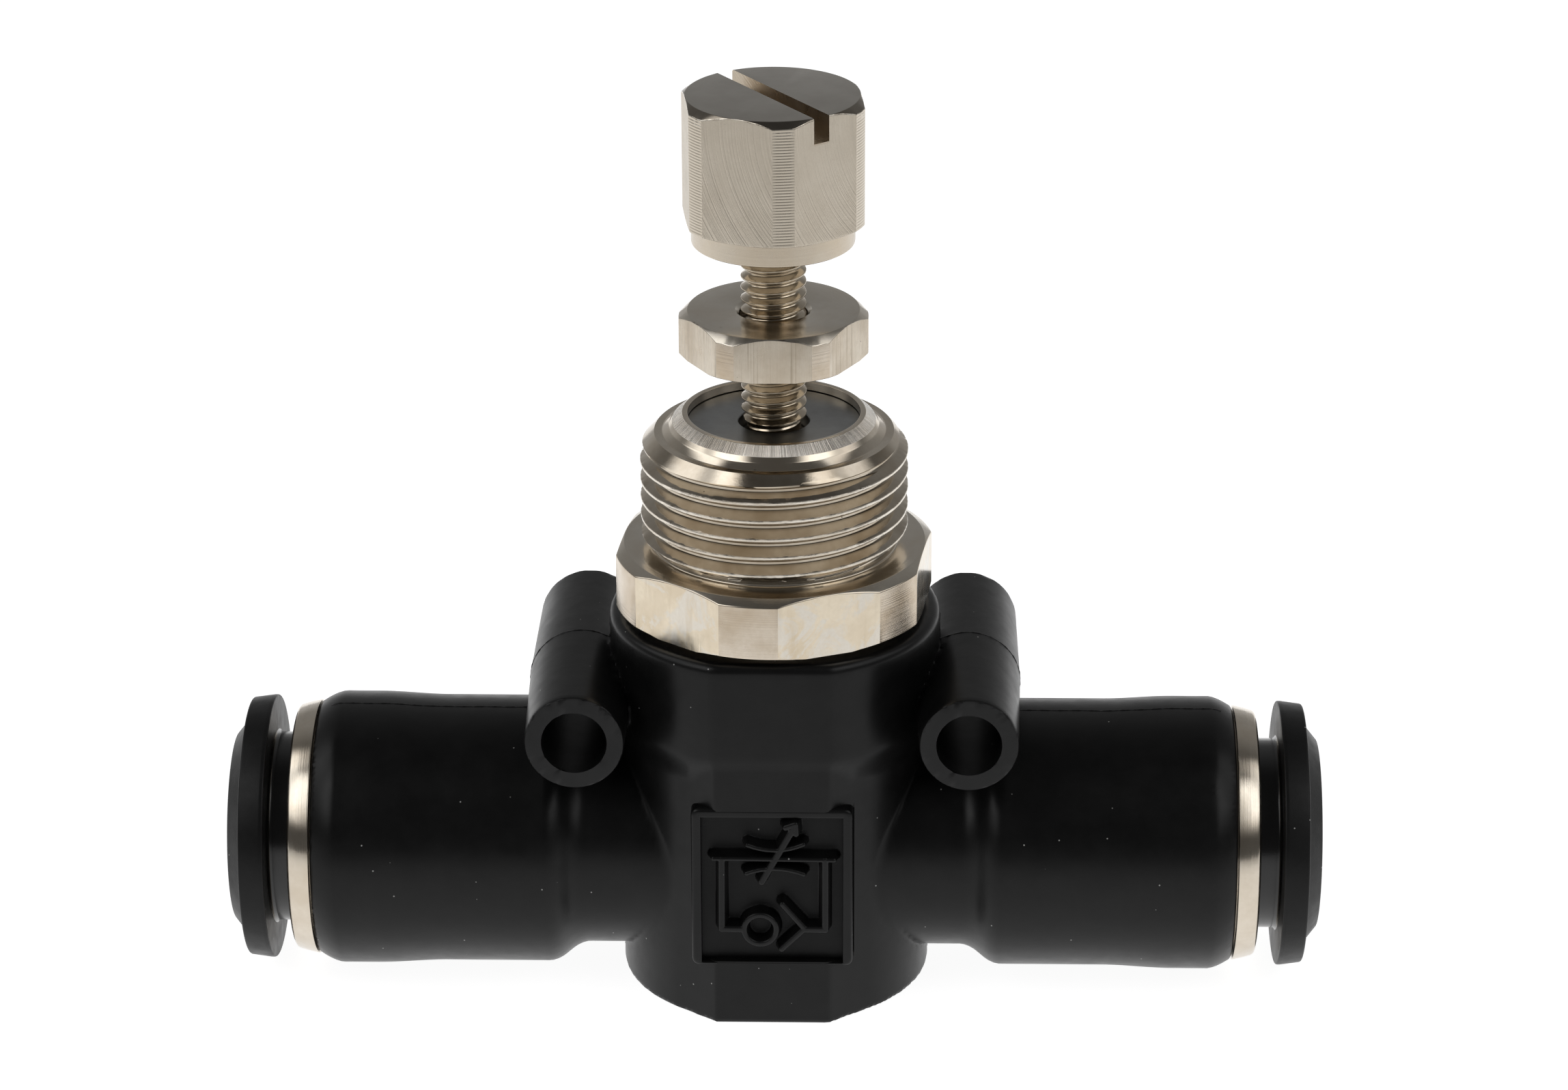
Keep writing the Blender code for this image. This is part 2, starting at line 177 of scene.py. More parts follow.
def thread_grid(phis, pitch, crest_z, crest_r, depth, z_low, z_high, envelope, shape, burr=0.0, seed=1):
    """Rows that follow a right-hand helix, cut off flat at both ends. shape lists (place in the pitch, share of the depth)."""
    per = len(shape)
    turns_low = math.floor((z_low - crest_z) / pitch) - 2
    turns_high = math.ceil((z_high - crest_z) / pitch) + 1
    turn = np.repeat(np.arange(turns_low, turns_high + 1), per)
    place = np.tile([p for p, _ in shape], turns_high - turns_low + 1)
    share = np.tile([d for _, d in shape], turns_high - turns_low + 1)
    rows = turn + place
    crest = np.floor(rows + 0.5)
    count = len(rows)
    phis = np.sort(phis)
    n = len(phis)
    pts = np.zeros((n, count, 3))
    for j, phi in enumerate(phis):
        s = phi / (2 * math.pi)
        uneven = np.where(share < 0.10, burr * ragged(crest + s, seed), 0.0)
        z = crest_z + (rows + s) * pitch + 0.5 * uneven
        r = crest_r - depth * share + np.minimum(uneven, 0.6 * burr)
        zc = np.clip(z, z_low, z_high)
        env = envelope(zc)
        r = np.minimum(r, env)
        ends = (z <= z_low) | (z >= z_high)
        pts[j] = ring_points(phi, np.where(ends, env, r), zc)
    faces = []
    for j in range(n):
        for i in range(count - 1):
            if j < n - 1:
                a, b = (j + 1) * count + i, (j + 1) * count + i + 1
            elif i + 1 + per < count:  # after a whole turn a row meets the one a pitch higher up
                a, b = i + per, i + 1 + per
            else:
                continue
            faces.append((j * count + i, a, b, j * count + i + 1))
    return pts.reshape(-1, 3), faces


# ---------------------------------------------------------------- moulded body as an implicit shape
def smin(a, b, k):
    h = np.clip(0.5 + 0.5 * (b - a) / k, 0.0, 1.0)
    return b * (1 - h) + a * h - k * h * (1 - h)


def smax(a, b, k):
    return -smin(-a, -b, k)


def sstep(a, b, x):
    t = np.clip((x - a) / (b - a), 0.0, 1.0)
    return t * t * (3 - 2 * t)


PORT_Z = 7.42
FLAT_Y, FLAT_HALF, BARREL_R = 8.02, 2.95, 8.15
COLLAR_R, COLLAR_Y = 8.66, 8.12
TANGENT = math.atan2(FLAT_HALF, FLAT_Y) + math.acos(BARREL_R / math.hypot(FLAT_HALF, FLAT_Y))
BOSS_X, BOSS_Z = 10.16, 16.25


def arm_radius(ax):
    """Slim neck, short cone with small fillets, then the socket that swells a little and rounds off at its end."""
    cone = smin(smax(6.05 + 0.82 * (ax - 10.30), 6.05 + 0 * ax, 0.42), 7.10 + 0 * ax, 0.40)
    return cone + 0.16 * sstep(17.4, 21.2, ax) - 0.54 * np.clip((ax - 23.0) / 1.25, 0, 1) ** 1.6


def body_field(x, y, z):
    """Signed distance, roughly: negative in the plastic."""
    ax, ay = np.abs(x), np.abs(y)
    rr = np.hypot(x, y)
    # lower barrel: a circle pulled out to flats at the front and back
    slant = ax * math.sin(TANGENT) + ay * math.cos(TANGENT) - BARREL_R
    lower = np.where(np.arctan2(ax, ay) > TANGENT, rr - BARREL_R, smax(ay - FLAT_Y, slant, 0.10))
    collar = smax(rr - COLLAR_R, ay - COLLAR_Y, 0.10)
    t = sstep(14.62 - 1.1 * sstep(2.9, 4.4, ax), 15.44, z)
    barrel = lower * (1 - t) + collar * t
    barrel = smax(barrel, z - 20.64, 0.55)
    barrel = smax(barrel, -z, 0.28)
    # arms
    rx = np.hypot(y, z - PORT_Z)
    e = 0.02
    slope = (arm_radius(ax + e) - arm_radius(ax - e)) / (2 * e)
    arms = (rx - arm_radius(ax)) / np.sqrt(1 + slope * slope)
    arms = smax(arms, ax - 24.25, 0.12)
    solid = smin(barrel, arms, 0.26)
    # mounting tubes with draft from the parting plane, more of it to the front
    rb = np.hypot(ax - BOSS_X, z - BOSS_Z)
    tube = smax(rb - (2.77 - np.where(y < 0, 0.21, 0.07) * ay / 8.05), ay - 8.05, 0.16)
    solid = smin(solid, tube, 0.30)
    # hollows
    solid = smax(solid, 1.69 - rb, 0.07)
    for hollow in (
        np.maximum(rr - 7.08, 13.30 - z),
        np.maximum(np.maximum(rr - 5.0, 7.0 - z), z - 14.0),
        np.maximum(np.maximum(rr - 3.4, 2.0 - z), z - 8.0),
        np.maximum(rx - 6.2, 16.3 - ax),
        np.maximum(rx - 4.06, 11.0 - ax),
        np.maximum(np.maximum(np.hypot(y, z - 5.3) - 1.5, x), -x - 11.5),
        np.maximum(np.maximum(np.hypot(y, z - 9.4) - 1.6, -x), x - 11.5),
        np.maximum(np.maximum(ax - 3.94, np.abs(z - 7.9) - 4.26), y + 6.95),
    ):
        solid = np.maximum(solid, -hollow)
    return solid


def contour(field, low, high, step):
    """Dual contouring: quads on the surface field = 0 that keep its sharp edges."""
    axes = [np.arange(a, b + step, step) for a, b in zip(low, high)]
    shape = [len(a) for a in axes]
    values = np.empty(shape)
    for i in range(0, shape[0], 16):
        gx, gy, gz = np.meshgrid(axes[0][i : i + 16], axes[1], axes[2], indexing="ij")
        values[i : i + 16] = field(gx, gy, gz)
    inside = values < 0
    cells = tuple(n - 1 for n in shape)
    count = np.zeros(cells, np.int8)
    for dx in (0, 1):
        for dy in (0, 1):
            for dz in (0, 1):
                count += inside[dx : dx + cells[0], dy : dy + cells[1], dz : dz + cells[2]]
    active = (count > 0) & (count < 8)
    index = np.full(cells, -1, np.int64)
    index[active] = np.arange(active.sum())
    total = int(active.sum())
    ata = np.zeros((total, 3, 3))
    atb = np.zeros((total, 3))
    mass = np.zeros((total, 3))
    hits = np.zeros(total)
    quads = []
    for d in range(3):
        sl0 = [slice(None)] * 3
        sl1 = [slice(None)] * 3
        sl0[d], sl1[d] = slice(0, -1), slice(1, None)
        cross = inside[tuple(sl0)] != inside[tuple(sl1)]
        where = np.argwhere(cross)
        p0 = np.stack([axes[k][where[:, k]] for k in range(3)], -1)
        p1 = p0.copy()
        p1[:, d] += step
        v0 = values[tuple(where.T)]
        far = where.copy()
        far[:, d] += 1
        v1 = values[tuple(far.T)]
        flip = v0 < 0
        for _ in range(4):  # false position, kept inside the bracket
            t = np.clip(v0 / (v0 - v1), 0.02, 0.98)
            pm = p0 + (p1 - p0) * t[:, None]
            vm = field(pm[:, 0], pm[:, 1], pm[:, 2])
            same = (vm < 0) == (v0 < 0)
            p0 = np.where(same[:, None], pm, p0)
            v0 = np.where(same, vm, v0)
            p1 = np.where(same[:, None], p1, pm)
            v1 = np.where(same, v1, vm)
        t = np.clip(v0 / (v0 - v1), 0.0, 1.0)
        point = p0 + (p1 - p0) * t[:, None]
        eps = 0.004
        normal = np.stack([
            field(point[:, 0] + eps * (k == 0), point[:, 1] + eps * (k == 1), point[:, 2] + eps * (k == 2))
            - field(point[:, 0] - eps * (k == 0), point[:, 1] - eps * (k == 1), point[:, 2] - eps * (k == 2))
            for k in range(3)], -1)
        normal /= np.maximum(np.linalg.norm(normal, axis=1, keepdims=True), 1e-12)
        u, w = [k for k in range(3) if k != d]
        ring = []
        for du, dw in ((-1, -1), (0, -1), (0, 0), (-1, 0)):
            cell = where.copy()
            cell[:, u] += du
            cell[:, w] += dw
            ok = np.all((cell >= 0) & (cell < np.array(cells)), axis=1)
            ids = np.full(len(cell), -1, np.int64)
            ids[ok] = index[tuple(cell[ok].T)]
            ring.append(ids)
            good = ids >= 0
            g = ids[good]
            nn, pp = normal[good], point[good]
            dist = np.einsum("ij,ij->i", nn, pp)
            for a in range(3):
                atb[:, a] += np.bincount(g, nn[:, a] * dist, total)
                mass[:, a] += np.bincount(g, pp[:, a], total)
                for b in range(3):
                    ata[:, a, b] += np.bincount(g, nn[:, a] * nn[:, b], total)
            hits += np.bincount(g, minlength=total)
        ring = np.stack(ring, -1)
        ring = np.where((flip == (d != 1))[:, None], ring, ring[:, ::-1])
        quads.append(ring[np.all(ring >= 0, axis=1)])
    mass /= np.maximum(hits, 1)[:, None]
    rhs = atb - np.einsum("nij,nj->ni", ata, mass)
    damp = 0.03 * np.eye(3)[None] * np.maximum(hits, 1)[:, None, None] * 0.25
    move = np.linalg.solve(ata + damp, rhs[..., None])[..., 0]
    corner = np.argwhere(active)
    cell_low = np.stack([axes[k][corner[:, k]] for k in range(3)], -1)
    points = np.clip(mass + move, cell_low, cell_low + step)
    return points, np.concatenate(quads)


def big_mesh(name, points, quads, field, body, node, material, sharp):
    """A mesh from contour(); its shading normals are the field's own slope, except where an edge is meant to be sharp."""
    mesh = bpy.data.meshes.new(name)
    mesh.vertices.add(len(points))
    mesh.vertices.foreach_set("co", (points * MM).astype(np.float32).ravel())
    mesh.loops.add(quads.size)
    mesh.polygons.add(len(quads))
    mesh.loops.foreach_set("vertex_index", quads.astype(np.int32).ravel())
    mesh.polygons.foreach_set("loop_start", np.arange(0, quads.size, 4, dtype=np.int32))
    mesh.update(calc_edges=True)
    mesh.validate()
    mesh.shade_smooth()
    mesh.set_sharp_from_angle(angle=math.radians(sharp))
    co = np.empty(len(mesh.vertices) * 3, np.float32)
    mesh.vertices.foreach_get("co", co)
    co = co.reshape(-1, 3).astype(float) / MM
    e = 0.02
    slope = np.stack([
        field(co[:, 0] + e * (k == 0), co[:, 1] + e * (k == 1), co[:, 2] + e * (k == 2))
        - field(co[:, 0] - e * (k == 0), co[:, 1] - e * (k == 1), co[:, 2] - e * (k == 2)) for k in range(3)], -1)
    slope /= np.maximum(np.linalg.norm(slope, axis=1, keepdims=True), 1e-12)
    corner = np.empty(len(mesh.loops), np.int32)
    mesh.loops.foreach_get("vertex_index", corner)
    flat = np.empty(len(mesh.polygons) * 3, np.float32)
    mesh.polygons.foreach_get("normal", flat)
    sizes = np.empty(len(mesh.polygons), np.int32)
    mesh.polygons.foreach_get("loop_total", sizes)
    flat = np.repeat(flat.reshape(-1, 3), sizes, axis=0)
    agree = np.einsum("ij,ij->i", slope[corner], flat) > math.cos(math.radians(24))
    mesh.normals_split_custom_set(np.where(agree[:, None], slope[corner], 0.0).tolist())
    obj = bpy.data.objects.new(name, mesh)
    bpy.context.scene.collection.objects.link(obj)
    mesh.materials.append(material)
    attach(obj, body)
    if node:
        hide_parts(node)
    return obj


# ---------------------------------------------------------------- materials
class Look:
    """A Principled material with a few shorthands for its nodes. Positions in the textures are millimetres."""

    def __init__(self, name, metallic=0.0, specular=0.5, roughness=0.4, colour=(0.5, 0.5, 0.5)):
        self.mat = bpy.data.materials.new(name)
        self.mat.use_nodes = True
        self.tree = self.mat.node_tree
        self.shader = self.tree.nodes["Principled BSDF"]
        self.shader.inputs["Metallic"].default_value = metallic
        self.shader.inputs["Specular IOR Level"].default_value = specular
        self.shader.inputs["Roughness"].default_value = roughness
        self.shader.inputs["Base Color"].default_value = (*colour, 1.0)
        coord = self.tree.nodes.new("ShaderNodeTexCoord")
        self.place = self.vector("MULTIPLY", coord.outputs["Object"], (1000.0, 1000.0, 1000.0))
        split = self.tree.nodes.new("ShaderNodeSeparateXYZ")
        self.put(split.inputs[0], self.place)
        self.x, self.y, self.z = split.outputs

    def put(self, socket, value):
        if isinstance(value, bpy.types.NodeSocket):
            self.tree.links.new(value, socket)
        else:
            socket.default_value = value

    def vector(self, operation, a, b):
        node = self.tree.nodes.new("ShaderNodeVectorMath")
        node.operation = operation
        self.put(node.inputs[0], a)
        self.put(node.inputs[1], b)
        return node.outputs[0]

    def math(self, operation, a, b=0.0, clamp=False):
        node = self.tree.nodes.new("ShaderNodeMath")
        node.operation = operation
        node.use_clamp = clamp
        self.put(node.inputs[0], a)
        self.put(node.inputs[1], b)
        return node.outputs[0]

    def noise(self, scale, detail=2.0, rough=0.5, at=None, stretch=None, distortion=0.0):
        node = self.tree.nodes.new("ShaderNodeTexNoise")
        where = at or self.place
        if stretch:
            where = self.vector("MULTIPLY", where, stretch)
        self.put(node.inputs["Vector"], where)
        node.inputs["Scale"].default_value = scale
        node.inputs["Detail"].default_value = detail
        node.inputs["Roughness"].default_value = rough
        node.inputs["Distortion"].default_value = distortion
        return node.outputs[0]

    def lines(self, value, scale, detail=2.0, rough=0.6):
        """Random bands along one number."""
        node = self.tree.nodes.new("ShaderNodeTexNoise")
        node.noise_dimensions = "1D"
        self.put(node.inputs["W"], value)
        node.inputs["Scale"].default_value = scale
        node.inputs["Detail"].default_value = detail
        node.inputs["Roughness"].default_value = rough
        return node.outputs[0]

    def specks(self, scale, radius, share):
        """Scattered dots: 1 inside a dot. share is how many cells of the scatter have one."""
        node = self.tree.nodes.new("ShaderNodeTexVoronoi")
        self.put(node.inputs["Vector"], self.place)
        node.inputs["Scale"].default_value = scale
        dot = self.span(node.outputs["Distance"], radius * scale, 0.55 * radius * scale)
        some = self.math("LESS_THAN", self.channel(node.outputs["Color"]), share)
        return self.math("MULTIPLY", dot, some)

    def channel(self, colour):
        node = self.tree.nodes.new("ShaderNodeSeparateColor")
        self.put(node.inputs[0], colour)
        return node.outputs[0]

    def span(self, value, a, b, low=0.0, high=1.0):
        node = self.tree.nodes.new("ShaderNodeMapRange")
        self.put(node.inputs["Value"], value)
        node.inputs["From Min"].default_value = a
        node.inputs["From Max"].default_value = b
        node.inputs["To Min"].default_value = low
        node.inputs["To Max"].default_value = high
        return node.outputs["Result"]

    def mix(self, factor, a, b):
        node = self.tree.nodes.new("ShaderNodeMix")
        node.data_type = "RGBA"
        self.put(node.inputs["Factor"], factor)
        sockets = [s for s in node.inputs if s.type == "RGBA"]
        for socket, value in zip(sockets, (a, b)):
            self.put(socket, value if isinstance(value, bpy.types.NodeSocket) else (*value, 1.0))
        return [s for s in node.outputs if s.type == "RGBA"][0]

    def radius(self):
        """Distance from the vertical axis."""
        return self.math("SQRT", self.math("ADD", self.math("MULTIPLY", self.x, self.x), self.math("MULTIPLY", self.y, self.y)))

    def angle(self):
        """Radians round the vertical axis, from the front towards +X."""
        return self.math("ARCTAN2", self.x, self.math("MULTIPLY", self.y, -1.0))

    def bump(self, height, depth, strength=1.0):
        """Relief of the given depth in millimetres, added to what is there already."""
        node = self.tree.nodes.new("ShaderNodeBump")
        node.inputs["Strength"].default_value = strength
        node.inputs["Distance"].default_value = depth * MM
        self.put(node.inputs["Height"], height)
        before = self.shader.inputs["Normal"].links
        if before:
            self.put(node.inputs["Normal"], before[0].from_socket)
        self.put(self.shader.inputs["Normal"], node.outputs["Normal"])

    def set(self, name, value):
        self.put(self.shader.inputs[name], value)


CHAMPAGNE, BROWN, PALE = (0.66, 0.590, 0.490), (0.50, 0.415, 0.310), (0.70, 0.665, 0.610)


def plated(name, rough, rough_range=0.10, base=CHAMPAGNE, stain=BROWN, pale=None, stain_amount=0.55, seed=0.0, pits=0.10):
    """Nickel plate: slow colour drift, tarnish, small pits and a roughness that wanders."""
    look = Look(name, metallic=1.0)
    shifted = look.vector("ADD", look.place, (seed, 1.7 * seed, -0.6 * seed))
    drift = look.span(look.noise(0.42, 3.0, 0.55, shifted), 0.38, 0.68, 0.0, stain_amount)
    colour = look.mix(drift, base, stain)
    if pale:
        cloud = look.span(look.noise(0.48, 6.0, 0.68, shifted, (1.0, 1.0, 0.9), 0.8), 0.50, 0.58, 0.0, 0.80)
        colour = look.mix(cloud, colour, pale)
        streaks = look.span(look.noise(1.0, 3.0, 0.65, shifted, (1.5, 1.5, 0.22)), 0.56, 0.78, 0.0, 0.45)
        colour = look.mix(streaks, colour, stain)
    if pits:
        colour = look.mix(look.specks(1.15, 0.045, pits), colour, (0.10, 0.075, 0.05))
    fine = look.noise(5.0, 3.0, 0.6, shifted)
    colour = look.mix(look.span(fine, 0.35, 0.75, 0.0, 0.18), colour, stain)
    look.set("Base Color", colour)
    look.set("Roughness", look.span(look.noise(1.3, 4.0, 0.6, shifted), 0.3, 0.7, rough - 0.5 * rough_range, rough + 0.5 * rough_range))
    return look


def turned_marks(look, scale, depth, wobble=0.0):
    """Rings left by a turning tool, on faces and on sides alike."""
    look.bump(look.lines(look.math("ADD", look.radius(), look.z), scale, 2.0, 0.7), depth)


def flat_frame(look, corner_deg):
    """Distance along the hexagon flat nearest to the point, measured from its middle."""
    turn = look.math("SUBTRACT", look.angle(), math.radians(corner_deg) - 4 * math.pi)
    off = look.math("SUBTRACT", look.math("MODULO", turn, math.radians(60)), math.radians(30))
    return look.math("MULTIPLY", look.radius(), look.math("SINE", off))


# turned faces: bush thread, stem, nut top, collar
m_turned = plated("nickel_turned", 0.13, 0.06, seed=3.1, stain_amount=0.45)
turned_marks(m_turned, 9.0, 0.0035)

m_thread = plated("nickel_thread", 0.09, 0.05, base=(0.55, 0.49, 0.405), stain=(0.37, 0.305, 0.225), seed=11.0, stain_amount=0.8, pits=0.16)
m_thread.bump(m_thread.noise(5.0, 2.0, 0.6), 0.0012)

# the thread's crests: plating torn by the die, so they glitter
m_crest = plated("nickel_thread_crest", 0.22, 0.10, base=(0.80, 0.745, 0.660), stain=(0.46, 0.385, 0.29), seed=71.0, stain_amount=0.7, pits=0.0)
m_crest.bump(m_crest.noise(6.5, 3.0, 0.7), 0.016)

m_stem = plated("nickel_stem", 0.16, 0.06, base=(0.58, 0.505, 0.400), stain=(0.40, 0.33, 0.24), seed=12.0, stain_amount=0.75, pits=0.12)
m_stem.bump(m_stem.noise(6.0, 2.0, 0.6), 0.0016)

m_top = plated("nickel_faced", 0.19, 0.06, base=(0.62, 0.575, 0.50), seed=6.4, stain_amount=0.35)
turned_marks(m_top, 5.0, 0.0050)
m_top.set("Anisotropic", 0.45)
m_top.set("Anisotropic Rotation", 0.25)
tangent = m_top.tree.nodes.new("ShaderNodeTangent")
tangent.direction_type, tangent.axis = "RADIAL", "Z"
m_top.set("Tangent", tangent.outputs[0])

# the bush's hexagon: bright drawn flats with cloudy tarnish, corner strips with turning lines
m_hex = plated("nickel_hex_flat", 0.16, 0.07, base=(0.74, 0.652, 0.515), stain=(0.56, 0.46, 0.33), pale=(0.68, 0.645, 0.585), seed=21.3, stain_amount=0.5, pits=0.14)
m_hex.bump(m_hex.noise(3.0, 2.0, 0.6, None, (1.0, 1.0, 0.10)), 0.006)
m_hex.bump(m_hex.noise(1.0, 1.0, 0.5), 0.010)

m_strip = plated("nickel_hex_corner", 0.24, 0.08, base=(0.68, 0.60, 0.50), stain=(0.47, 0.375, 0.265), seed=15.2, stain_amount=0.75)
m_strip.bump(m_strip.lines(m_strip.z, 9.0, 3.0, 0.7), 0.008)

m_cone = plated("nickel_rolled_lip", 0.12, 0.06, base=(0.66, 0.62, 0.56), seed=9.9, stain_amount=0.4)
m_cone.bump(m_cone.lines(m_cone.angle(), 85.0, 3.0, 0.75), 0.04)

# holder face inside the lip: dull grey
m_floor = plated("nickel_dull_face", 0.34, 0.10, base=(0.29, 0.295, 0.295), stain=(0.21, 0.21, 0.205), seed=4.4, stain_amount=0.7)
m_floor.bump(m_floor.noise(6.0, 2.0, 0.5), 0.003)

# lock nut flats: vertical drawing lines
m_drawn = plated("nickel_drawn_flat", 0.31, 0.10, base=(0.645, 0.578, 0.480), stain=(0.44, 0.360, 0.265), seed=31.0, stain_amount=0.65, pits=0.14)
m_drawn.bump(m_drawn.noise(1.0, 3.0, 0.7, None, (5.0, 5.0, 0.12)), 0.075)

scratch = m_drawn.span(m_drawn.noise(1.0, 2.0, 0.5, None, (6.5, 6.5, 0.07)), 0.60, 0.70, 0.0, 0.55)
m_drawn.set("Base Color", m_drawn.mix(scratch, m_drawn.shader.inputs["Base Color"].links[0].from_socket, (0.30, 0.245, 0.175)))

# knob flats: arcs of a fly cutter, the same on every flat
KNOB_CORNER = 7.7
m_milled = plated("nickel_milled_flat", 0.34, 0.08, base=(0.625, 0.560, 0.466), stain=(0.50, 0.436, 0.348), seed=41.0, stain_amount=0.4, pits=0.34)
along = m_milled.math("SUBTRACT", flat_frame(m_milled, KNOB_CORNER), 8.2)
up = m_milled.math("SUBTRACT", m_milled.z, 48.4)
sweep = m_milled.math("SQRT", m_milled.math("ADD", m_milled.math("MULTIPLY", along, along), m_milled.math("MULTIPLY", up, up)))
m_milled.bump(m_milled.lines(sweep, 8.0, 3.0, 0.78), 0.034)
m_milled.bump(m_milled.noise(11.0, 2.0, 0.6), 0.006)

m_cap = plated("nickel_knob_top", 0.22, 0.06, base=(0.46, 0.430, 0.380), stain=(0.36, 0.33, 0.285), seed=17.0, stain_amount=0.6, pits=0.16)
turned_marks(m_cap, 6.0, 0.002)
m_ridge = plated("nickel_knob_corner", 0.26, 0.06, base=(0.58, 0.520, 0.432), stain=(0.50, 0.436, 0.348), seed=43.0, stain_amount=0.3, pits=0.05)
# the knob's top chamfer gets a much darker base than the top: painted shade standing in for the dark reflection it
# catches
m_bevel_painted_shade = plated("nickel_knob_bevel_painted_shade", 0.20, 0.06, base=(0.27, 0.240, 0.200), stain=(0.20, 0.17, 0.135), seed=19.0, stain_amount=0.6, pits=0.16)
m_collar = plated("nickel_knob_collar", 0.26, 0.08, base=(0.54, 0.480, 0.395), seed=27.0, stain_amount=0.5)
turned_marks(m_collar, 8.0, 0.004)

# rubbed edges: bright where the plating is burnished, dark where dirt sits
m_edge = plated("nickel_worn_edge", 0.15, 0.06, base=(0.82, 0.765, 0.680), stain=(0.66, 0.58, 0.47), seed=63.0, stain_amount=0.5)
worn = m_edge.span(m_edge.noise(2.2, 4.0, 0.7), 0.44, 0.60, 0.0, 0.85)
m_edge.set("Base Color", m_edge.mix(worn, m_edge.shader.inputs["Base Color"].links[0].from_socket, (0.26, 0.225, 0.18)))

m_slot = plated("nickel_sawn", 0.30, 0.10, base=(0.55, 0.48, 0.39), seed=2.2)
m_slot.bump(m_slot.lines(m_slot.math("ADD", m_slot.x, m_slot.z), 8.0, 2.0, 0.7), 0.010)

m_ring = plated("nickel_ring", 0.19, 0.06, base=(0.68, 0.617, 0.527), stain=(0.53, 0.45, 0.35), seed=51.0, stain_amount=0.6, pits=0.12)
m_ring.bump(m_ring.lines(m_ring.x, 9.0, 3.0, 0.75), 0.006)
m_ring.set("Anisotropic", 0.85)
m_ring.set("Anisotropic Rotation", 0.25)
tangent = m_ring.tree.nodes.new("ShaderNodeTangent")
tangent.direction_type, tangent.axis = "RADIAL", "X"
m_ring.set("Tangent", tangent.outputs[0])


def moulded(name, grey, rough, rough_range, specular, seed, dust=0.36, grain=0.0016, streak=None):
    """Black moulded plastic: fine grain, slow waviness, rubbed patches and a little dust."""
    look = Look(name, specular=specular)
    shifted = look.vector("ADD", look.place, (seed, -seed, 0.5 * seed))
    tone = look.mix(look.span(look.noise(0.6, 4.0, 0.6, shifted), 0.35, 0.7), (grey, grey, 1.02 * grey), (1.7 * grey, 1.7 * grey, 1.7 * grey))
    if dust:
        tone = look.mix(look.specks(1.15, 0.050, dust), tone, (0.34, 0.34, 0.33))
    look.set("Base Color", tone)
    look.set("Roughness", look.span(look.noise(0.9, 5.0, 0.65, shifted), 0.3, 0.7, rough - 0.5 * rough_range, rough + 0.5 * rough_range))
    look.bump(look.noise(9.0, 2.0, 0.55, shifted), grain)
    look.bump(look.noise(0.45, 2.0, 0.5, shifted), 0.020)
    if streak:
        look.bump(look.noise(1.0, 3.0, 0.7, shifted, streak), 0.004)
    return look


m_body = moulded("black_moulding", 0.0032, 0.33, 0.08, 0.22, 0.0)
m_face = moulded("black_tube_ends", 0.0060, 0.40, 0.08, 0.25, 21.0)
m_panel = moulded("black_panel", 0.0032, 0.34, 0.06, 0.24, 5.0, streak=(0.4, 1.0, 9.0))
m_sunk = moulded("black_panel_floor", 0.0032, 0.42, 0.06, 0.17, 5.0, streak=(0.5, 1.0, 14.0))
m_collet = moulded("black_collet", 0.0042, 0.40, 0.12, 0.20, 9.0, grain=0.004)

m_neck = moulded("black_collet_neck", 0.0042, 0.20, 0.06, 0.50, 9.0, dust=0.12)

m_rubber = moulded("black_rubber", 0.010, 0.62, 0.10, 0.30, 13.0, dust=0.0)
m_acetal = Look("white_plastic", specular=0.4)
m_acetal.set("Base Color", m_acetal.mix(m_acetal.span(m_acetal.noise(0.8, 3.0), 0.35, 0.7), (0.78, 0.77, 0.73), (0.70, 0.69, 0.65)))
m_acetal.set("Roughness", m_acetal.span(m_acetal.noise(2.0, 3.0), 0.3, 0.7, 0.35, 0.48))
m_acetal.bump(m_acetal.noise(6.0, 2.0), 0.002)
m_steel = plated("stainless_strip", 0.25, 0.10, base=(0.58, 0.57, 0.55), stain=(0.46, 0.44, 0.41), seed=7.0, pits=0.0)

for node, look in {
    "bush_o_ring": m_rubber, "needle_o_ring": m_rubber, "check_lip_seal": m_rubber, "left_tube_seal": m_rubber, "right_tube_seal": m_rubber,
    "seat_sleeve": m_turned, "left_claw_ring": m_steel, "right_claw_ring": m_steel, "left_seal_spacer": m_acetal, "right_seal_spacer": m_acetal,
}.items():
    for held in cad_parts[node].material_slots:
        held.material = look.mat


def paint(obj, looks, choose):
    """Gives each face the look that choose(radius, centre, normal) picks, in millimetres."""
    mesh = obj.data
    mesh.materials.clear()
    for look in looks:
        mesh.materials.append(look.mat)
    count = len(mesh.polygons)
    centre, normal = np.empty(count * 3, np.float32), np.empty(count * 3, np.float32)
    mesh.polygons.foreach_get("center", centre)
    mesh.polygons.foreach_get("normal", normal)
    centre, normal = centre.reshape(-1, 3) / MM, normal.reshape(-1, 3)
    index = choose(np.hypot(centre[:, 0], centre[:, 1]), centre, normal).astype(np.int32)
    mesh.polygons.foreach_set("material_index", index)
    mesh.update()


# ---------------------------------------------------------------- pieces: body
ROOT = "valve_body"
points, quads = contour(body_field, (-24.62, -8.50, -0.33), (24.62, 8.50, 21.0), 0.264)
points[:, 2] = np.maximum(points[:, 2], 0.0)
body_piece = big_mesh("moulded_body", points, quads, body_field, ROOT, "body", m_body.mat, 34.0)

paint(body_piece, [m_body, m_face], lambda r, c, n: np.where(
    (np.abs(n[:, 1]) > 0.95) & (np.abs(c[:, 1]) > 7.98) & (np.hypot(np.abs(c[:, 0]) - BOSS_X, c[:, 2] - BOSS_Z) < 2.6), 1, 0))

PANEL_Y, FLOOR_Y, RIB_Y = -8.035, -7.50, -8.30


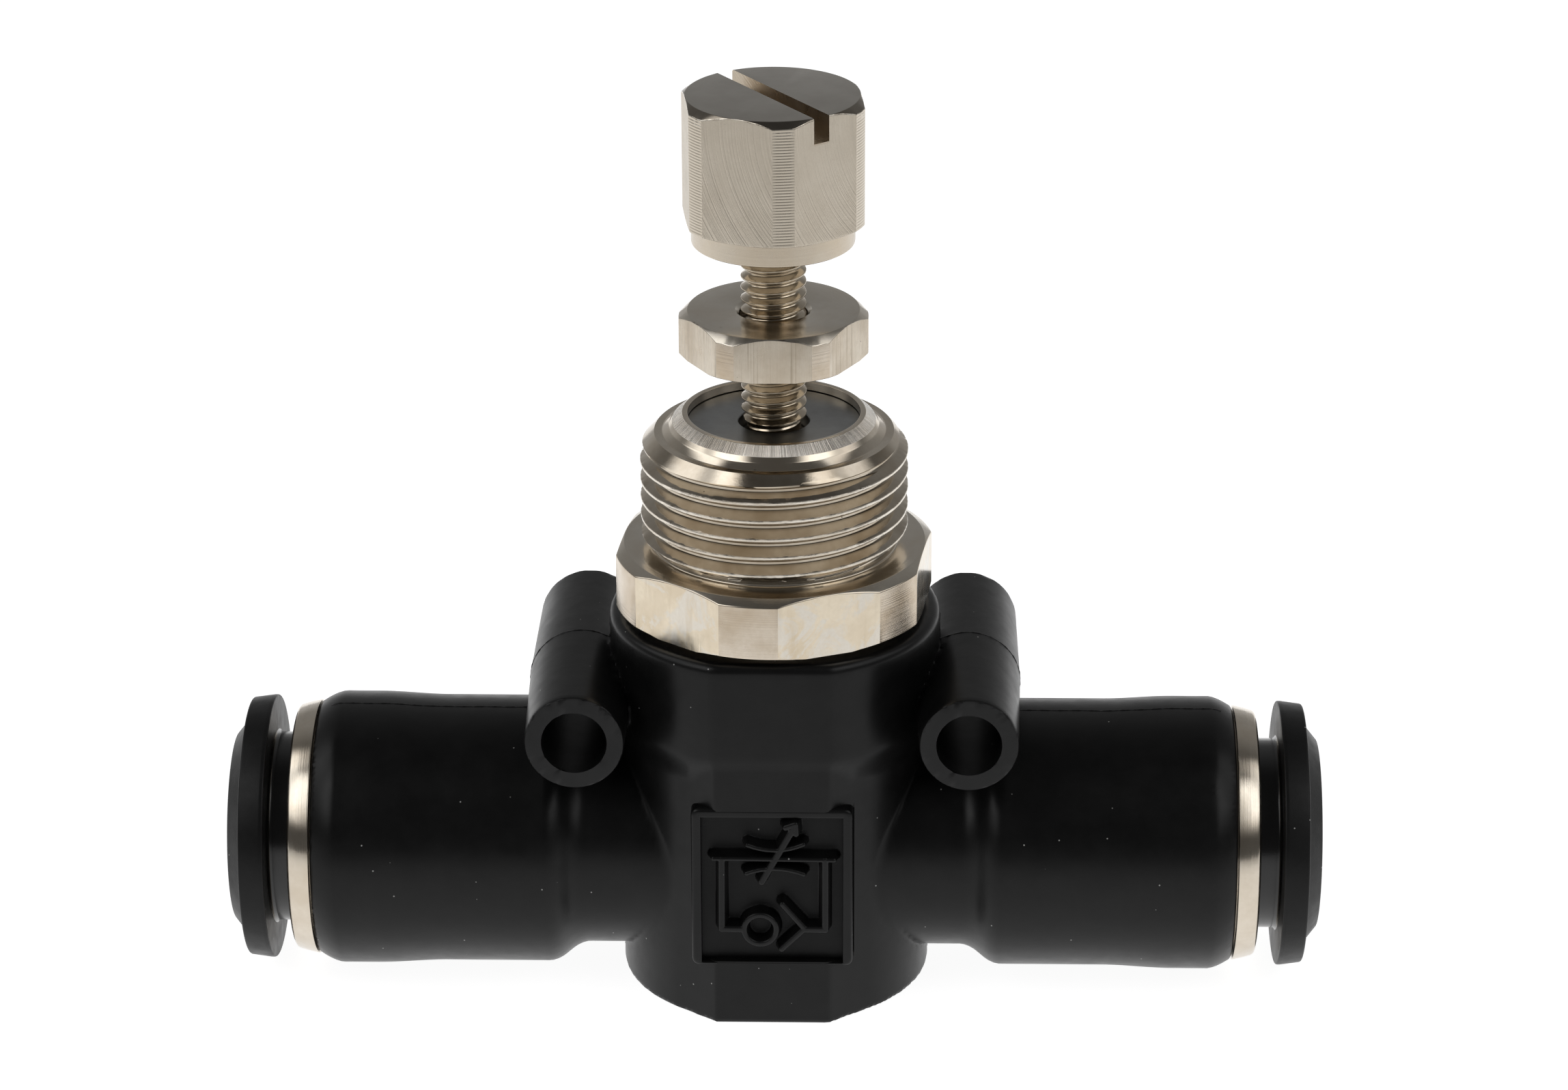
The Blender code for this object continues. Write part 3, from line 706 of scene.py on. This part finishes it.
def arc3(a, b, c, n=9):
    """A smooth path through three points."""
    a, b, c = (np.array(p, float) for p in (a, b, c))
    ctrl = 2 * b - 0.5 * (a + c)
    return [tuple((1 - t) ** 2 * a + 2 * t * (1 - t) * ctrl + t * t * c) for t in np.linspace(0, 1, n)]


# throttle and check symbol, the usual valve diagram: path, width at the crest, half width at the foot
STROKES = [
    ([(-3.03, 9.75), (3.22, 9.70)], 0.20, 0.30),
    ([(-2.60, 9.70), (-2.62, 5.66), (-1.52, 5.65)], 0.32, 0.32),
    ([(2.77, 9.68), (2.77, 5.65), (1.74, 5.66)], 0.32, 0.32),
    ([(0.54, 7.11), (1.70, 5.71), (0.50, 4.50)], 0.28, 0.31),
    ([(-0.53, 8.42), (0.34, 10.05), (0.91, 11.12), (1.16, 11.60)], 0.34, 0.34),
    ([(0.72, 11.56), (1.22, 11.74), (1.26, 11.20), (0.98, 11.44)], 0.28, 0.30),
    (arc3((-1.26, 10.54), (0.20, 10.25), (1.64, 10.60)), 0.20, 0.27),
    (arc3((-1.33, 8.90), (0.14, 9.18), (1.66, 8.87)), 0.20, 0.27),
]
BALL = (-0.62, 5.64, 0.84)


def panel_field(x, y, z):
    """Raised frame with a sunk floor, and the symbol's drafted ribs standing on that floor."""
    plate = smax(smax(np.abs(x) - 4.20, np.abs(z - 7.95) - 4.55, 0.45), PANEL_Y - y, 0.24)
    plate = np.maximum(plate, y + 6.60)
    draft = 0.06 * (y - PANEL_Y)
    sunk = np.maximum(np.maximum(np.abs(x) - 3.70 + draft, np.abs(z - 7.82) - 4.22 + draft), y - FLOOR_Y)
    solid = smax(plate, -sunk, 0.06)
    low = np.clip((y - RIB_Y) / (FLOOR_Y - RIB_Y), 0.0, 1.3)
    rib = None
    for path, width, foot in STROKES:
        near = None
        for (ax, az), (bx, bz) in zip(path[:-1], path[1:]):
            dx, dz = bx - ax, bz - az
            t = np.clip(((x - ax) * dx + (z - az) * dz) / (dx * dx + dz * dz), 0.0, 1.0)
            d = np.hypot(x - ax - t * dx, z - az - t * dz)
            near = d if near is None else np.minimum(near, d)
        one = near - (0.5 * width + (foot - 0.5 * width) * low)
        rib = one if rib is None else np.minimum(rib, one)
    ball = np.abs(np.hypot(x - BALL[0], z - BALL[1]) - BALL[2]) - (0.145 + 0.115 * low)
    rib = smin(rib, ball, 0.05)
    rib = smax(rib * 0.97, RIB_Y - y, 0.12)
    rib = np.maximum(rib, y + 7.0)
    return smin(solid, rib, 0.08)


points, quads = contour(panel_field, (-4.40, -8.48, 3.20), (4.40, -6.50, 12.60), 0.062)
panel_piece = big_mesh("symbol_panel", points, quads, panel_field, ROOT, None, m_panel.mat, 40.0)
paint(panel_piece, [m_panel, m_sunk], lambda r, c, n: np.where((np.abs(c[:, 1] - FLOOR_Y) < 0.03) & (n[:, 1] < -0.9), 1, 0))


# ---------------------------------------------------------------- pieces: flash along the mould's parting plane
def walk(start, heading, stop):
    """Follows the body's outline in the plane y = 0."""
    e, step = 0.01, 0.12
    p, way = np.array(start, float), np.array(heading, float)
    path = []
    for _ in range(900):
        for _ in range(4):
            f = float(body_field(p[0], 0.0, p[1]))
            g = np.array([
                float(body_field(p[0] + e, 0.0, p[1])) - float(body_field(p[0] - e, 0.0, p[1])),
                float(body_field(p[0], 0.0, p[1] + e)) - float(body_field(p[0], 0.0, p[1] - e))]) / (2 * e)
            p = p - f * g / max(float(g @ g), 1e-9)
        normal = g / np.linalg.norm(g)
        if stop(p):
            break
        path.append((p.copy(), normal))
        along = np.array([-normal[1], normal[0]])
        way = along if along @ way > 0 else -along
        p = p + step * way
    return path


def flash():
    """Thin, slightly uneven ridge left where the two halves of the mould met."""
    section = [(-0.075, -0.10), (-0.055, 0.0), (-0.020, 0.034), (0.018, 0.036), (0.052, 0.0), (0.075, -0.10)]
    verts, faces = [], []
    runs = [
        walk((23.6, PORT_Z + 7.2), (-1, 0), lambda p: p[1] > 20.15 or p[0] < 7.0),
        walk((23.6, PORT_Z - 7.2), (-1, 0), lambda p: p[0] < 8.6 and p[1] < 0.40),
    ]
    for run in runs:
        for side in (1, -1):
            base, n = len(verts), len(section)
            for k, (p, normal) in enumerate(run):
                lift = 0.75 + 0.25 * math.sin(0.9 * k + side) + 0.22 * math.sin(2.3 * k + 2 * side)
                shift = 0.012 * math.sin(0.31 * k + side)
                for across, out in section:
                    out = out * lift if out > 0 else out
                    verts.append((side * (p[0] + normal[0] * out), across + shift, p[1] + normal[1] * out))
            for k in range(len(run) - 1):
                for i in range(n):
                    j = (i + 1) % n
                    faces.append((base + k * n + i, base + k * n + j, base + (k + 1) * n + j, base + (k + 1) * n + i))
            faces.append(tuple(base + i for i in range(n)))
            faces.append(tuple(base + (len(run) - 1) * n + i for i in range(n)))
    return verts, faces


verts, faces = flash()
flash_piece = make_object("parting_flash", verts, faces, ROOT, None, m_body.mat, 60.0)


# ---------------------------------------------------------------- pieces: bush, holder
def bush():
    phis, outer = hex_columns(15.80, 8.378, -8.0, 34, 16)
    tan30 = math.tan(math.radians(30))
    lower = []
    for phi, ro in zip(phis, outer):
        zc = 24.35 - (ro - 7.85) * tan30
        profile = rounded([
            (4.50, 13.60), (6.70, 13.60), (7.0, 13.90), (7.0, 15.30), (5.95, 15.30), (5.95, 16.70), (7.0, 16.70), (7.0, 20.95),
            (min(ro, 8.0) - 0.02, 20.95), (ro, 20.96 + max(ro - 8.0, 0.0) * 0.55), (ro, zc), (7.85, 24.35), (6.38, 24.35), (6.38, 24.62)],
            [0, 0, 0, 0, 0, 0, 0, 0, 0.06, 0.11, 0.10, 0.07, 0.12, 0], 4)
        profile = np.array(profile)
        lower.append(ring_points(phi, profile[:, 0], profile[:, 1]))
    rows = len(lower[0])
    verts = [p for col in lower for p in col]
    faces = grid_faces(len(phis), rows)

    def envelope(z):
        return np.interp(z, [24.62, 24.66, 25.02, 29.70, 30.47], [6.38, 6.38, 6.95, 6.95, 6.21])

    shape = [(0.0, 0.0), (0.048, 0.0), (0.066, 0.014), (0.085, 0.06), (0.16, 0.27), (0.245, 0.51), (0.33, 0.76), (0.39, 0.92), (0.445, 0.99),
             (0.50, 1.0), (0.555, 0.99), (0.61, 0.92), (0.67, 0.76), (0.755, 0.51), (0.84, 0.27), (0.915, 0.06), (0.934, 0.014), (0.952, 0.0)]
    tv, tf = thread_grid(phis, 1.0, 25.16, 6.95, 0.60, 24.62, 30.47, envelope, shape, 0.012, 5)
    base = len(verts)
    verts += [tuple(p) for p in tv]
    faces += [tuple(base + i for i in f) for f in tf]
    upper = rounded([
        (6.21, 30.47), (5.80, 30.47), (5.44, 30.78), (5.27, 31.05), (4.74, 31.50), (4.466, 31.50), (4.466, 31.05), (4.90, 31.05),
        (4.90, 15.70), (4.50, 15.70), (4.50, 13.60)], [0, 0.12, 0.30, 0.05, 0.06, 0.05, 0, 0, 0, 0, 0], 4)
    upper = np.array(upper)
    base = len(verts)
    order = np.sort(phis)
    for phi in order:
        verts += [tuple(p) for p in ring_points(phi, upper[:, 0], upper[:, 1])]
    faces += grid_faces(len(phis), len(upper), True, base)
    return verts, faces


verts, faces = bush()
bush_piece = make_object("panel_bush_turned", verts, faces, ROOT, "panel_bush", None, 30.0)


def bush_looks(r, c, n):
    out = np.where((c[:, 2] > 24.60) & (c[:, 2] < 30.47), 1, 0)
    side = (np.abs(n[:, 2]) < 0.2) & (c[:, 2] > 20.9) & (c[:, 2] < 24.4) & (r > 7.0)
    out = np.where(side & (r < 8.37), 2, out)
    out = np.where(side & (r >= 8.37), 3, out)
    out = np.where((c[:, 2] > 31.04) & (r > 4.76) & (n[:, 2] > 0.3), 4, out)
    out = np.where((out == 1) & (r > 6.917) & (c[:, 2] > 24.95) & (c[:, 2] < 29.72), 6, out)
    return np.where((n[:, 2] > 0.75) & (c[:, 2] > 24.0) & (c[:, 2] < 24.4), 5, out)


crease_corners(bush_piece, 20.9, 24.4)
even_shading(bush_piece)
paint(bush_piece, [m_turned, m_thread, m_hex, m_strip, m_cone, m_top, m_crest], bush_looks)

holder_piece = revolve("needle_holder_turned", rounded([
    (4.60, 31.00), (4.84, 30.80), (4.84, 15.78), (2.60, 15.78), (2.60, 23.60), (1.78, 23.85), (1.78, 30.55), (1.83, 30.70), (1.84, 30.95), (1.88, 31.00), (4.60, 31.00)],
    [0] * 11)[:-1], ROOT, "needle_holder", m_floor.mat, 96)


# ---------------------------------------------------------------- pieces: stem, nut, knob
def stem():
    phis = 2 * np.pi * np.arange(96) / 96
    low = [(0.0, 12.30), (0.55, 12.30), (1.50, 13.70), (1.50, 19.00), (2.52, 19.00), (2.52, 20.60), (1.75, 20.60), (1.75, 22.00),
           (2.52, 22.00), (2.52, 23.40), (1.35, 23.40), (1.35, 26.20)]
    high = [(1.35, 41.60), (1.66, 41.90), (1.66, 44.75), (1.42, 45.0), (0.0, 45.0)]
    verts, faces = [], []
    for profile in (low, high):
        profile = np.array(profile)
        base = len(verts)
        for phi in phis:
            verts += [tuple(p) for p in ring_points(phi, profile[:, 0], profile[:, 1])]
        faces += grid_faces(len(phis), len(profile), True, base)

    def envelope(z):
        return np.interp(z, [26.20, 26.55, 30.30, 30.50, 31.12, 31.30, 41.25, 41.60], [1.35, 1.685, 1.685, 1.40, 1.40, 1.685, 1.685, 1.35])

    shape = [(0.0, 0.0), (0.045, 0.005), (0.07, 0.03), (0.10, 0.11), (0.19, 0.35), (0.28, 0.59), (0.36, 0.80), (0.42, 0.93), (0.50, 1.0),
             (0.58, 0.93), (0.64, 0.80), (0.72, 0.59), (0.81, 0.35), (0.90, 0.11), (0.93, 0.03), (0.955, 0.005)]
    tv, tf = thread_grid(phis, 0.6, 31.30, 1.685, 0.335, 26.20, 41.60, envelope, shape, 0.006, 9)
    base = len(verts)
    verts += [tuple(p) for p in tv]
    faces += [tuple(base + i for i in f) for f in tf]
    return verts, faces


verts, faces = stem()
stem_piece = make_object("needle_stem_threaded", verts, faces, "needle", "needle_stem", m_stem.mat, 30.0)


def hex_piece(across, turn, corner, build, closed, flat_steps=20, strip_steps=10):
    """Columns of one profile round a hexagon; build gets the outer radius, the angle to the nearest corner and the place round the turn."""
    phis, outer = hex_columns(across, turn, corner, flat_steps, strip_steps)
    verts = []
    rows = 0
    for phi, ro in zip(phis, outer):
        off = abs((math.degrees(phi) - corner + 30) % 60 - 30)
        profile = np.array(build(ro, off, phi / (2 * math.pi)))
        rows = len(profile)
        verts += [tuple(p) for p in ring_points(phi, profile[:, 0], profile[:, 1])]
    faces = grid_faces(len(phis), rows)
    if closed:
        for j in range(len(phis)):
            k = (j + 1) % len(phis)
            faces.append((j * rows + rows - 1, k * rows + rows - 1, k * rows, j * rows))
    return verts, faces


def nut_profile(ro, off, turn):
    zc = 37.12 - (ro - 4.42) * math.tan(math.radians(37)) - 0.014 * (1.0 + ragged(0.35 * turn, 8))
    zb = 34.74 + max(ro - 4.60, 0.0) * 0.45
    return rounded([
        (1.95, 34.73), (min(ro, 4.60) - 0.02, 34.73), (ro, zb), (ro, zc), (4.42, 37.12), (1.97, 37.12), (1.77, 36.92), (1.77, 34.93), (1.95, 34.731)],
        [0, 0.05, 0.06, 0.07, 0.06, 0.03, 0, 0, 0], 3)


verts, faces = hex_piece(8.92, 4.88, 30.9, nut_profile, True)
nut_piece = make_object("lock_nut_turned", verts, faces, "lock_nut", "lock_nut", None, 28.0)
crease_corners(nut_piece, 34.7, 37.2)
even_shading(nut_piece)
paint(nut_piece, [m_top, m_drawn, m_strip, m_edge], lambda r, c, n: np.where(
    (np.abs(n[:, 2]) < 0.2) & (r > 4.3), np.where(r > 4.87, 2, 1), np.where((n[:, 2] > 0) & (n[:, 2] < 0.66) & (r > 4.42), 3, 0)))


def knob_profile(ro, off, turn):
    zc = 48.65 - (ro - 4.44) * math.tan(math.radians(35)) - 0.016 * (1.0 + ragged(0.35 * turn, 3))
    zb = 42.04 + max(ro - 4.50, 0.0) * 0.30
    head = rounded([
        (0.0, 45.10), (1.75, 45.10), (1.75, 41.05), (1.95, 40.85), (4.19, 40.85), (4.19, 42.03), (min(ro, 4.50) - 0.02, 42.03), (ro, zb), (ro, zb + 0.12)],
        [0, 0, 0, 0, 0.10, 0.06, 0.03, 0.05, 0], 3)
    side = []
    half_strip = 6.57
    deep = 0.0115 * max(0.0, min(1.0, (half_strip - off) / 0.5))
    for z in np.linspace(42.30, 48.30, 242):
        # turning lines stand on the corner strips only; the flats were milled afterwards
        z = min(z, zc - 0.09 + 1e-5 * (z - 42.0))
        wave = 0.5 - 0.5 * math.cos(2 * math.pi * (z - 42.4) / 0.151)
        side.append((ro - deep * wave * wave, z))
    cap = rounded([(ro, zc - 0.085), (ro, zc), (4.44, 48.65), (0.0, 48.65)], [0, 0.09, 0.07, 0], 4)
    return head + side + cap


verts, faces = hex_piece(8.90, 4.85, KNOB_CORNER, knob_profile, False)
knob_piece = make_object("adjuster_knob_turned", verts, faces, "needle", "adjuster_knob", None, 28.0)


def cut_slot(obj, width, bottom, deg):
    """Saw cut across the top, made with an exact Boolean that is then applied."""
    a = math.radians(deg)
    d, n = np.array([math.sin(a), -math.cos(a)]), np.array([math.cos(a), math.sin(a)])
    low, high = [], []
    for along, across in ((-8, -1), (8, -1), (8, 1), (-8, 1)):
        p = d * along + n * across * 0.5 * width
        low.append((p[0], p[1], bottom))
        high.append((p[0], p[1], 52.0))
    mesh = bpy.data.meshes.new("slot_tool")
    mesh.from_pydata([tuple(c * MM for c in p) for p in low + high], [], [(0, 1, 2, 3), (4, 5, 6, 7), (0, 1, 5, 4), (1, 2, 6, 5), (2, 3, 7, 6), (3, 0, 4, 7)])
    bm = bmesh.new()
    bm.from_mesh(mesh)
    bmesh.ops.recalc_face_normals(bm, faces=bm.faces)
    bm.to_mesh(mesh)
    bm.free()
    tool = bpy.data.objects.new("slot_tool", mesh)
    bpy.context.scene.collection.objects.link(tool)
    mod = obj.modifiers.new("slot", "BOOLEAN")
    mod.operation, mod.solver, mod.object = "DIFFERENCE", "EXACT", tool
    bpy.context.view_layer.update()
    graph = bpy.context.evaluated_depsgraph_get()
    cut = bpy.data.meshes.new_from_object(obj.evaluated_get(graph))
    obj.modifiers.clear()
    old = obj.data
    obj.data = cut
    bpy.data.meshes.remove(old)
    bpy.data.objects.remove(tool, do_unlink=True)
    cut.shade_smooth()
    cut.set_sharp_from_angle(angle=math.radians(28))


SLOT_DEG = 34.6
cut_slot(knob_piece, 0.94, 47.30, SLOT_DEG)
crease_corners(knob_piece, 42.0, 48.6)
even_shading(knob_piece)


def knob_looks(r, c, n):
    side = np.abs(n[:, 2]) < 0.35
    a = math.radians(SLOT_DEG)
    across = np.abs(c[:, 0] * math.cos(a) + c[:, 1] * math.sin(a))
    out = np.where(side & (r > 4.3), np.where(r > 4.825, 2, 1), 0)
    # chamfer faces take the darker look: painted shade
    out = np.where((c[:, 2] > 48.0) & (n[:, 2] > 0.5) & (n[:, 2] < 0.93), 5, out)
    out = np.where((c[:, 2] > 48.0) & (n[:, 2] > 0.07) & (n[:, 2] < 0.70) & (r > 4.44), 6, out)
    out = np.where(c[:, 2] < 42.02, 3, out)
    return np.where((across < 0.475) & (c[:, 2] < 48.6) & (c[:, 2] > 47.2) & (r < 4.84), 4, out)


paint(knob_piece, [m_cap, m_milled, m_ridge, m_collar, m_slot, m_bevel_painted_shade, m_edge], knob_looks)


# ---------------------------------------------------------------- pieces: ports
for side, axis in (("left", "-x"), ("right", "+x")):
    ring_piece = revolve(side + "_guide_ring_turned", rounded([
        (5.15, 25.50), (6.50, 25.50), (6.66, 24.95), (6.80, 24.33), (6.12, 24.33), (6.12, 20.0), (5.70, 20.0), (5.70, 22.90), (5.15, 23.40), (5.15, 25.40)],
        [0, 0.27, 0.9, 0.05, 0, 0, 0, 0, 0, 0], 5), ROOT, side + "_guide_ring", m_ring.mat, 160, True, axis, PORT_Z)
    collet_piece = revolve(side + "_collet_moulded", rounded([
        (4.10, 28.42), (4.48, 28.80), (4.98, 28.80), (5.92, 28.04), (6.88, 28.02), (7.03, 26.90), (7.03, 26.68), (5.04, 26.68), (5.04, 23.25), (5.50, 22.70),
        (5.50, 22.20), (4.70, 21.40), (4.10, 21.40), (4.10, 28.3)], [0, 0.12, 0.14, 0.10, 0.14, 0.10, 0.14, 0.26, 0, 0, 0, 0, 0, 0], 4),
        side + "_collet", side + "_release_collet", m_collet.mat, 128, True, axis, PORT_Z)
    even_shading(ring_piece)
    even_shading(collet_piece)
    # the neck that slides in the port is polished, the flange is dull
    paint(collet_piece, [m_collet, m_neck], lambda r, c, n: np.where(
        (np.hypot(c[:, 1], c[:, 2] - PORT_Z) < 5.35) & (np.abs(c[:, 0]) < 26.66), 1, 0))


# ---------------------------------------------------------------- stage, light, camera
def plane(name, size, z, material):
    mesh = bpy.data.meshes.new(name)
    s = size
    mesh.from_pydata([(-s, -s, z), (s, -s, z), (s, s, z), (-s, s, z)], [], [(0, 1, 2, 3)])
    mesh.materials.append(material)
    obj = bpy.data.objects.new(name, mesh)
    bpy.context.scene.collection.objects.link(obj)
    return obj


table = Look("white_table", specular=0.1, roughness=0.7, colour=(0.36, 0.36, 0.36))
# brightest round the part and far behind it, fading slowly towards the camera
ahead = table.math("SUBTRACT", 75.0, table.y)
ahead = table.math("MAXIMUM", ahead, table.math("MULTIPLY", ahead, -0.08))
aside = table.math("MULTIPLY", table.x, 0.8)
reach = table.math("SQRT", table.math("ADD", table.math("MULTIPLY", ahead, ahead), table.math("MULTIPLY", aside, aside)))
pool = table.span(reach, 85.0, 190.0, 0.94, 0.44)
table.set("Emission Color", (1.0, 1.0, 1.0, 1.0))
table.set("Emission Strength", pool)
floor = plane("floor", 1.6, -0.00003, table.mat)


def area(name, location, target, size, power, colour=(1, 1, 1), size_y=None, soft=0.38):
    """A softbox: brightest in the middle, fading towards its rim."""
    data = bpy.data.lights.new(name, "AREA")
    data.energy = power
    data.color = colour
    data.shape = "RECTANGLE"
    data.size = size
    data.size_y = size_y or size
    data.use_nodes = True
    tree = data.node_tree
    split = tree.nodes.new("ShaderNodeSeparateXYZ")
    tree.links.new(tree.nodes.new("ShaderNodeNewGeometry").outputs["Parametric"], split.inputs[0])
    glow = None
    for part, rim in ((0, soft), (1, 0.5 * soft)):
        for a, b in ((0.0, rim), (1.0, 1.0 - rim)):
            fade = tree.nodes.new("ShaderNodeMapRange")
            fade.interpolation_type = "SMOOTHSTEP"
            fade.inputs["From Min"].default_value = a
            fade.inputs["From Max"].default_value = b
            tree.links.new(split.outputs[part], fade.inputs["Value"])
            if glow is None:
                glow = fade.outputs["Result"]
                continue
            times = tree.nodes.new("ShaderNodeMath")
            times.operation = "MULTIPLY"
            tree.links.new(glow, times.inputs[0])
            tree.links.new(fade.outputs["Result"], times.inputs[1])
            glow = times.outputs[0]
    tree.links.new(glow, tree.nodes["Emission"].inputs["Strength"])
    obj = bpy.data.objects.new(name, data)
    obj.location = location
    obj.rotation_euler = (Vector(target) - Vector(location)).to_track_quat("-Z", "Y").to_euler()
    obj.visible_camera = False
    bpy.context.scene.collection.objects.link(obj)
    return obj


# two tall softboxes beside the camera, and a weaker one on each side that carries the light on to the flanks
area("left_box", (-0.287, -0.201, 0.40), (0, 0, 0.40), 0.40, 1.52, size_y=0.58)
area("left_fill", (-0.347, 0.043, 0.40), (0, 0, 0.40), 0.30, 0.87, size_y=0.58)
area("right_box", (0.294, -0.191, 0.40), (0, 0, 0.40), 0.40, 1.33, size_y=0.58)
area("right_fill", (0.349, 0.030, 0.40), (0, 0, 0.40), 0.26, 0.52, size_y=0.58)

world = bpy.data.worlds.new("studio")
bpy.context.scene.world = world
world.use_nodes = True
sky = world.node_tree
sky_out = sky.nodes["Background"]
sky_out.inputs["Color"].default_value = (1.0, 1.0, 1.0, 1)
sky_dir = sky.nodes.new("ShaderNodeSeparateXYZ")
sky.links.new(sky.nodes.new("ShaderNodeTexCoord").outputs["Generated"], sky_dir.inputs[0])


def sky_span(value, a, b, low, high):
    node = sky.nodes.new("ShaderNodeMapRange")
    node.interpolation_type = "SMOOTHSTEP"
    sky.links.new(value, node.inputs["Value"])
    for socket, number in (("From Min", a), ("From Max", b), ("To Min", low), ("To Max", high)):
        node.inputs[socket].default_value = number
    return node.outputs["Result"]


# a dark room above and on the camera side, grey behind the part and lighter there low down
low_down = sky_span(sky_dir.outputs[2], 0.05, 0.40, 0.20, 0.0)
grey = sky.nodes.new("ShaderNodeMath")
grey.operation = "ADD"
grey.inputs[1].default_value = 0.16
sky.links.new(low_down, grey.inputs[0])
behind = sky_span(sky_dir.outputs[1], 0.10, 0.75, 0.0, 1.0)
both = sky.nodes.new("ShaderNodeMath")
both.operation = "MULTIPLY_ADD"
both.inputs[2].default_value = 0.085
sky.links.new(grey.outputs[0], both.inputs[0])
sky.links.new(behind, both.inputs[1])
sky.links.new(both.outputs[0], sky_out.inputs["Strength"])

YAW, ELEVATION, ROLL = -0.0238, 0.4057, -0.0034
FOCAL_PX, WIDTH_PX, HEIGHT_PX = 7370.15, 2296, 1596
EYE = np.array([6.325, -241.461, 127.699])
F = np.array([math.sin(YAW) * math.cos(ELEVATION), math.cos(YAW) * math.cos(ELEVATION), -math.sin(ELEVATION)])
r0 = np.array([math.cos(YAW), -math.sin(YAW), 0.0])
u0 = np.cross(r0, F)
R = math.cos(ROLL) * r0 + math.sin(ROLL) * u0
U = -math.sin(ROLL) * r0 + math.cos(ROLL) * u0
cam_data = bpy.data.cameras.new("camera")
cam_data.sensor_width = 36.0
cam_data.sensor_fit = "HORIZONTAL"
cam_data.lens = 36.0 * FOCAL_PX / WIDTH_PX
cam_data.shift_x = -(1150.33 - 0.5 * WIDTH_PX) / WIDTH_PX
cam_data.clip_start = 0.01
cam_data.clip_end = 20.0
camera = bpy.data.objects.new("camera", cam_data)
camera.matrix_world = Matrix((
    (R[0], U[0], -F[0], EYE[0] * MM), (R[1], U[1], -F[1], EYE[1] * MM), (R[2], U[2], -F[2], EYE[2] * MM), (0, 0, 0, 1)))
bpy.context.scene.collection.objects.link(camera)
bpy.context.scene.camera = camera
bpy.context.scene.view_settings.view_transform = "Standard"
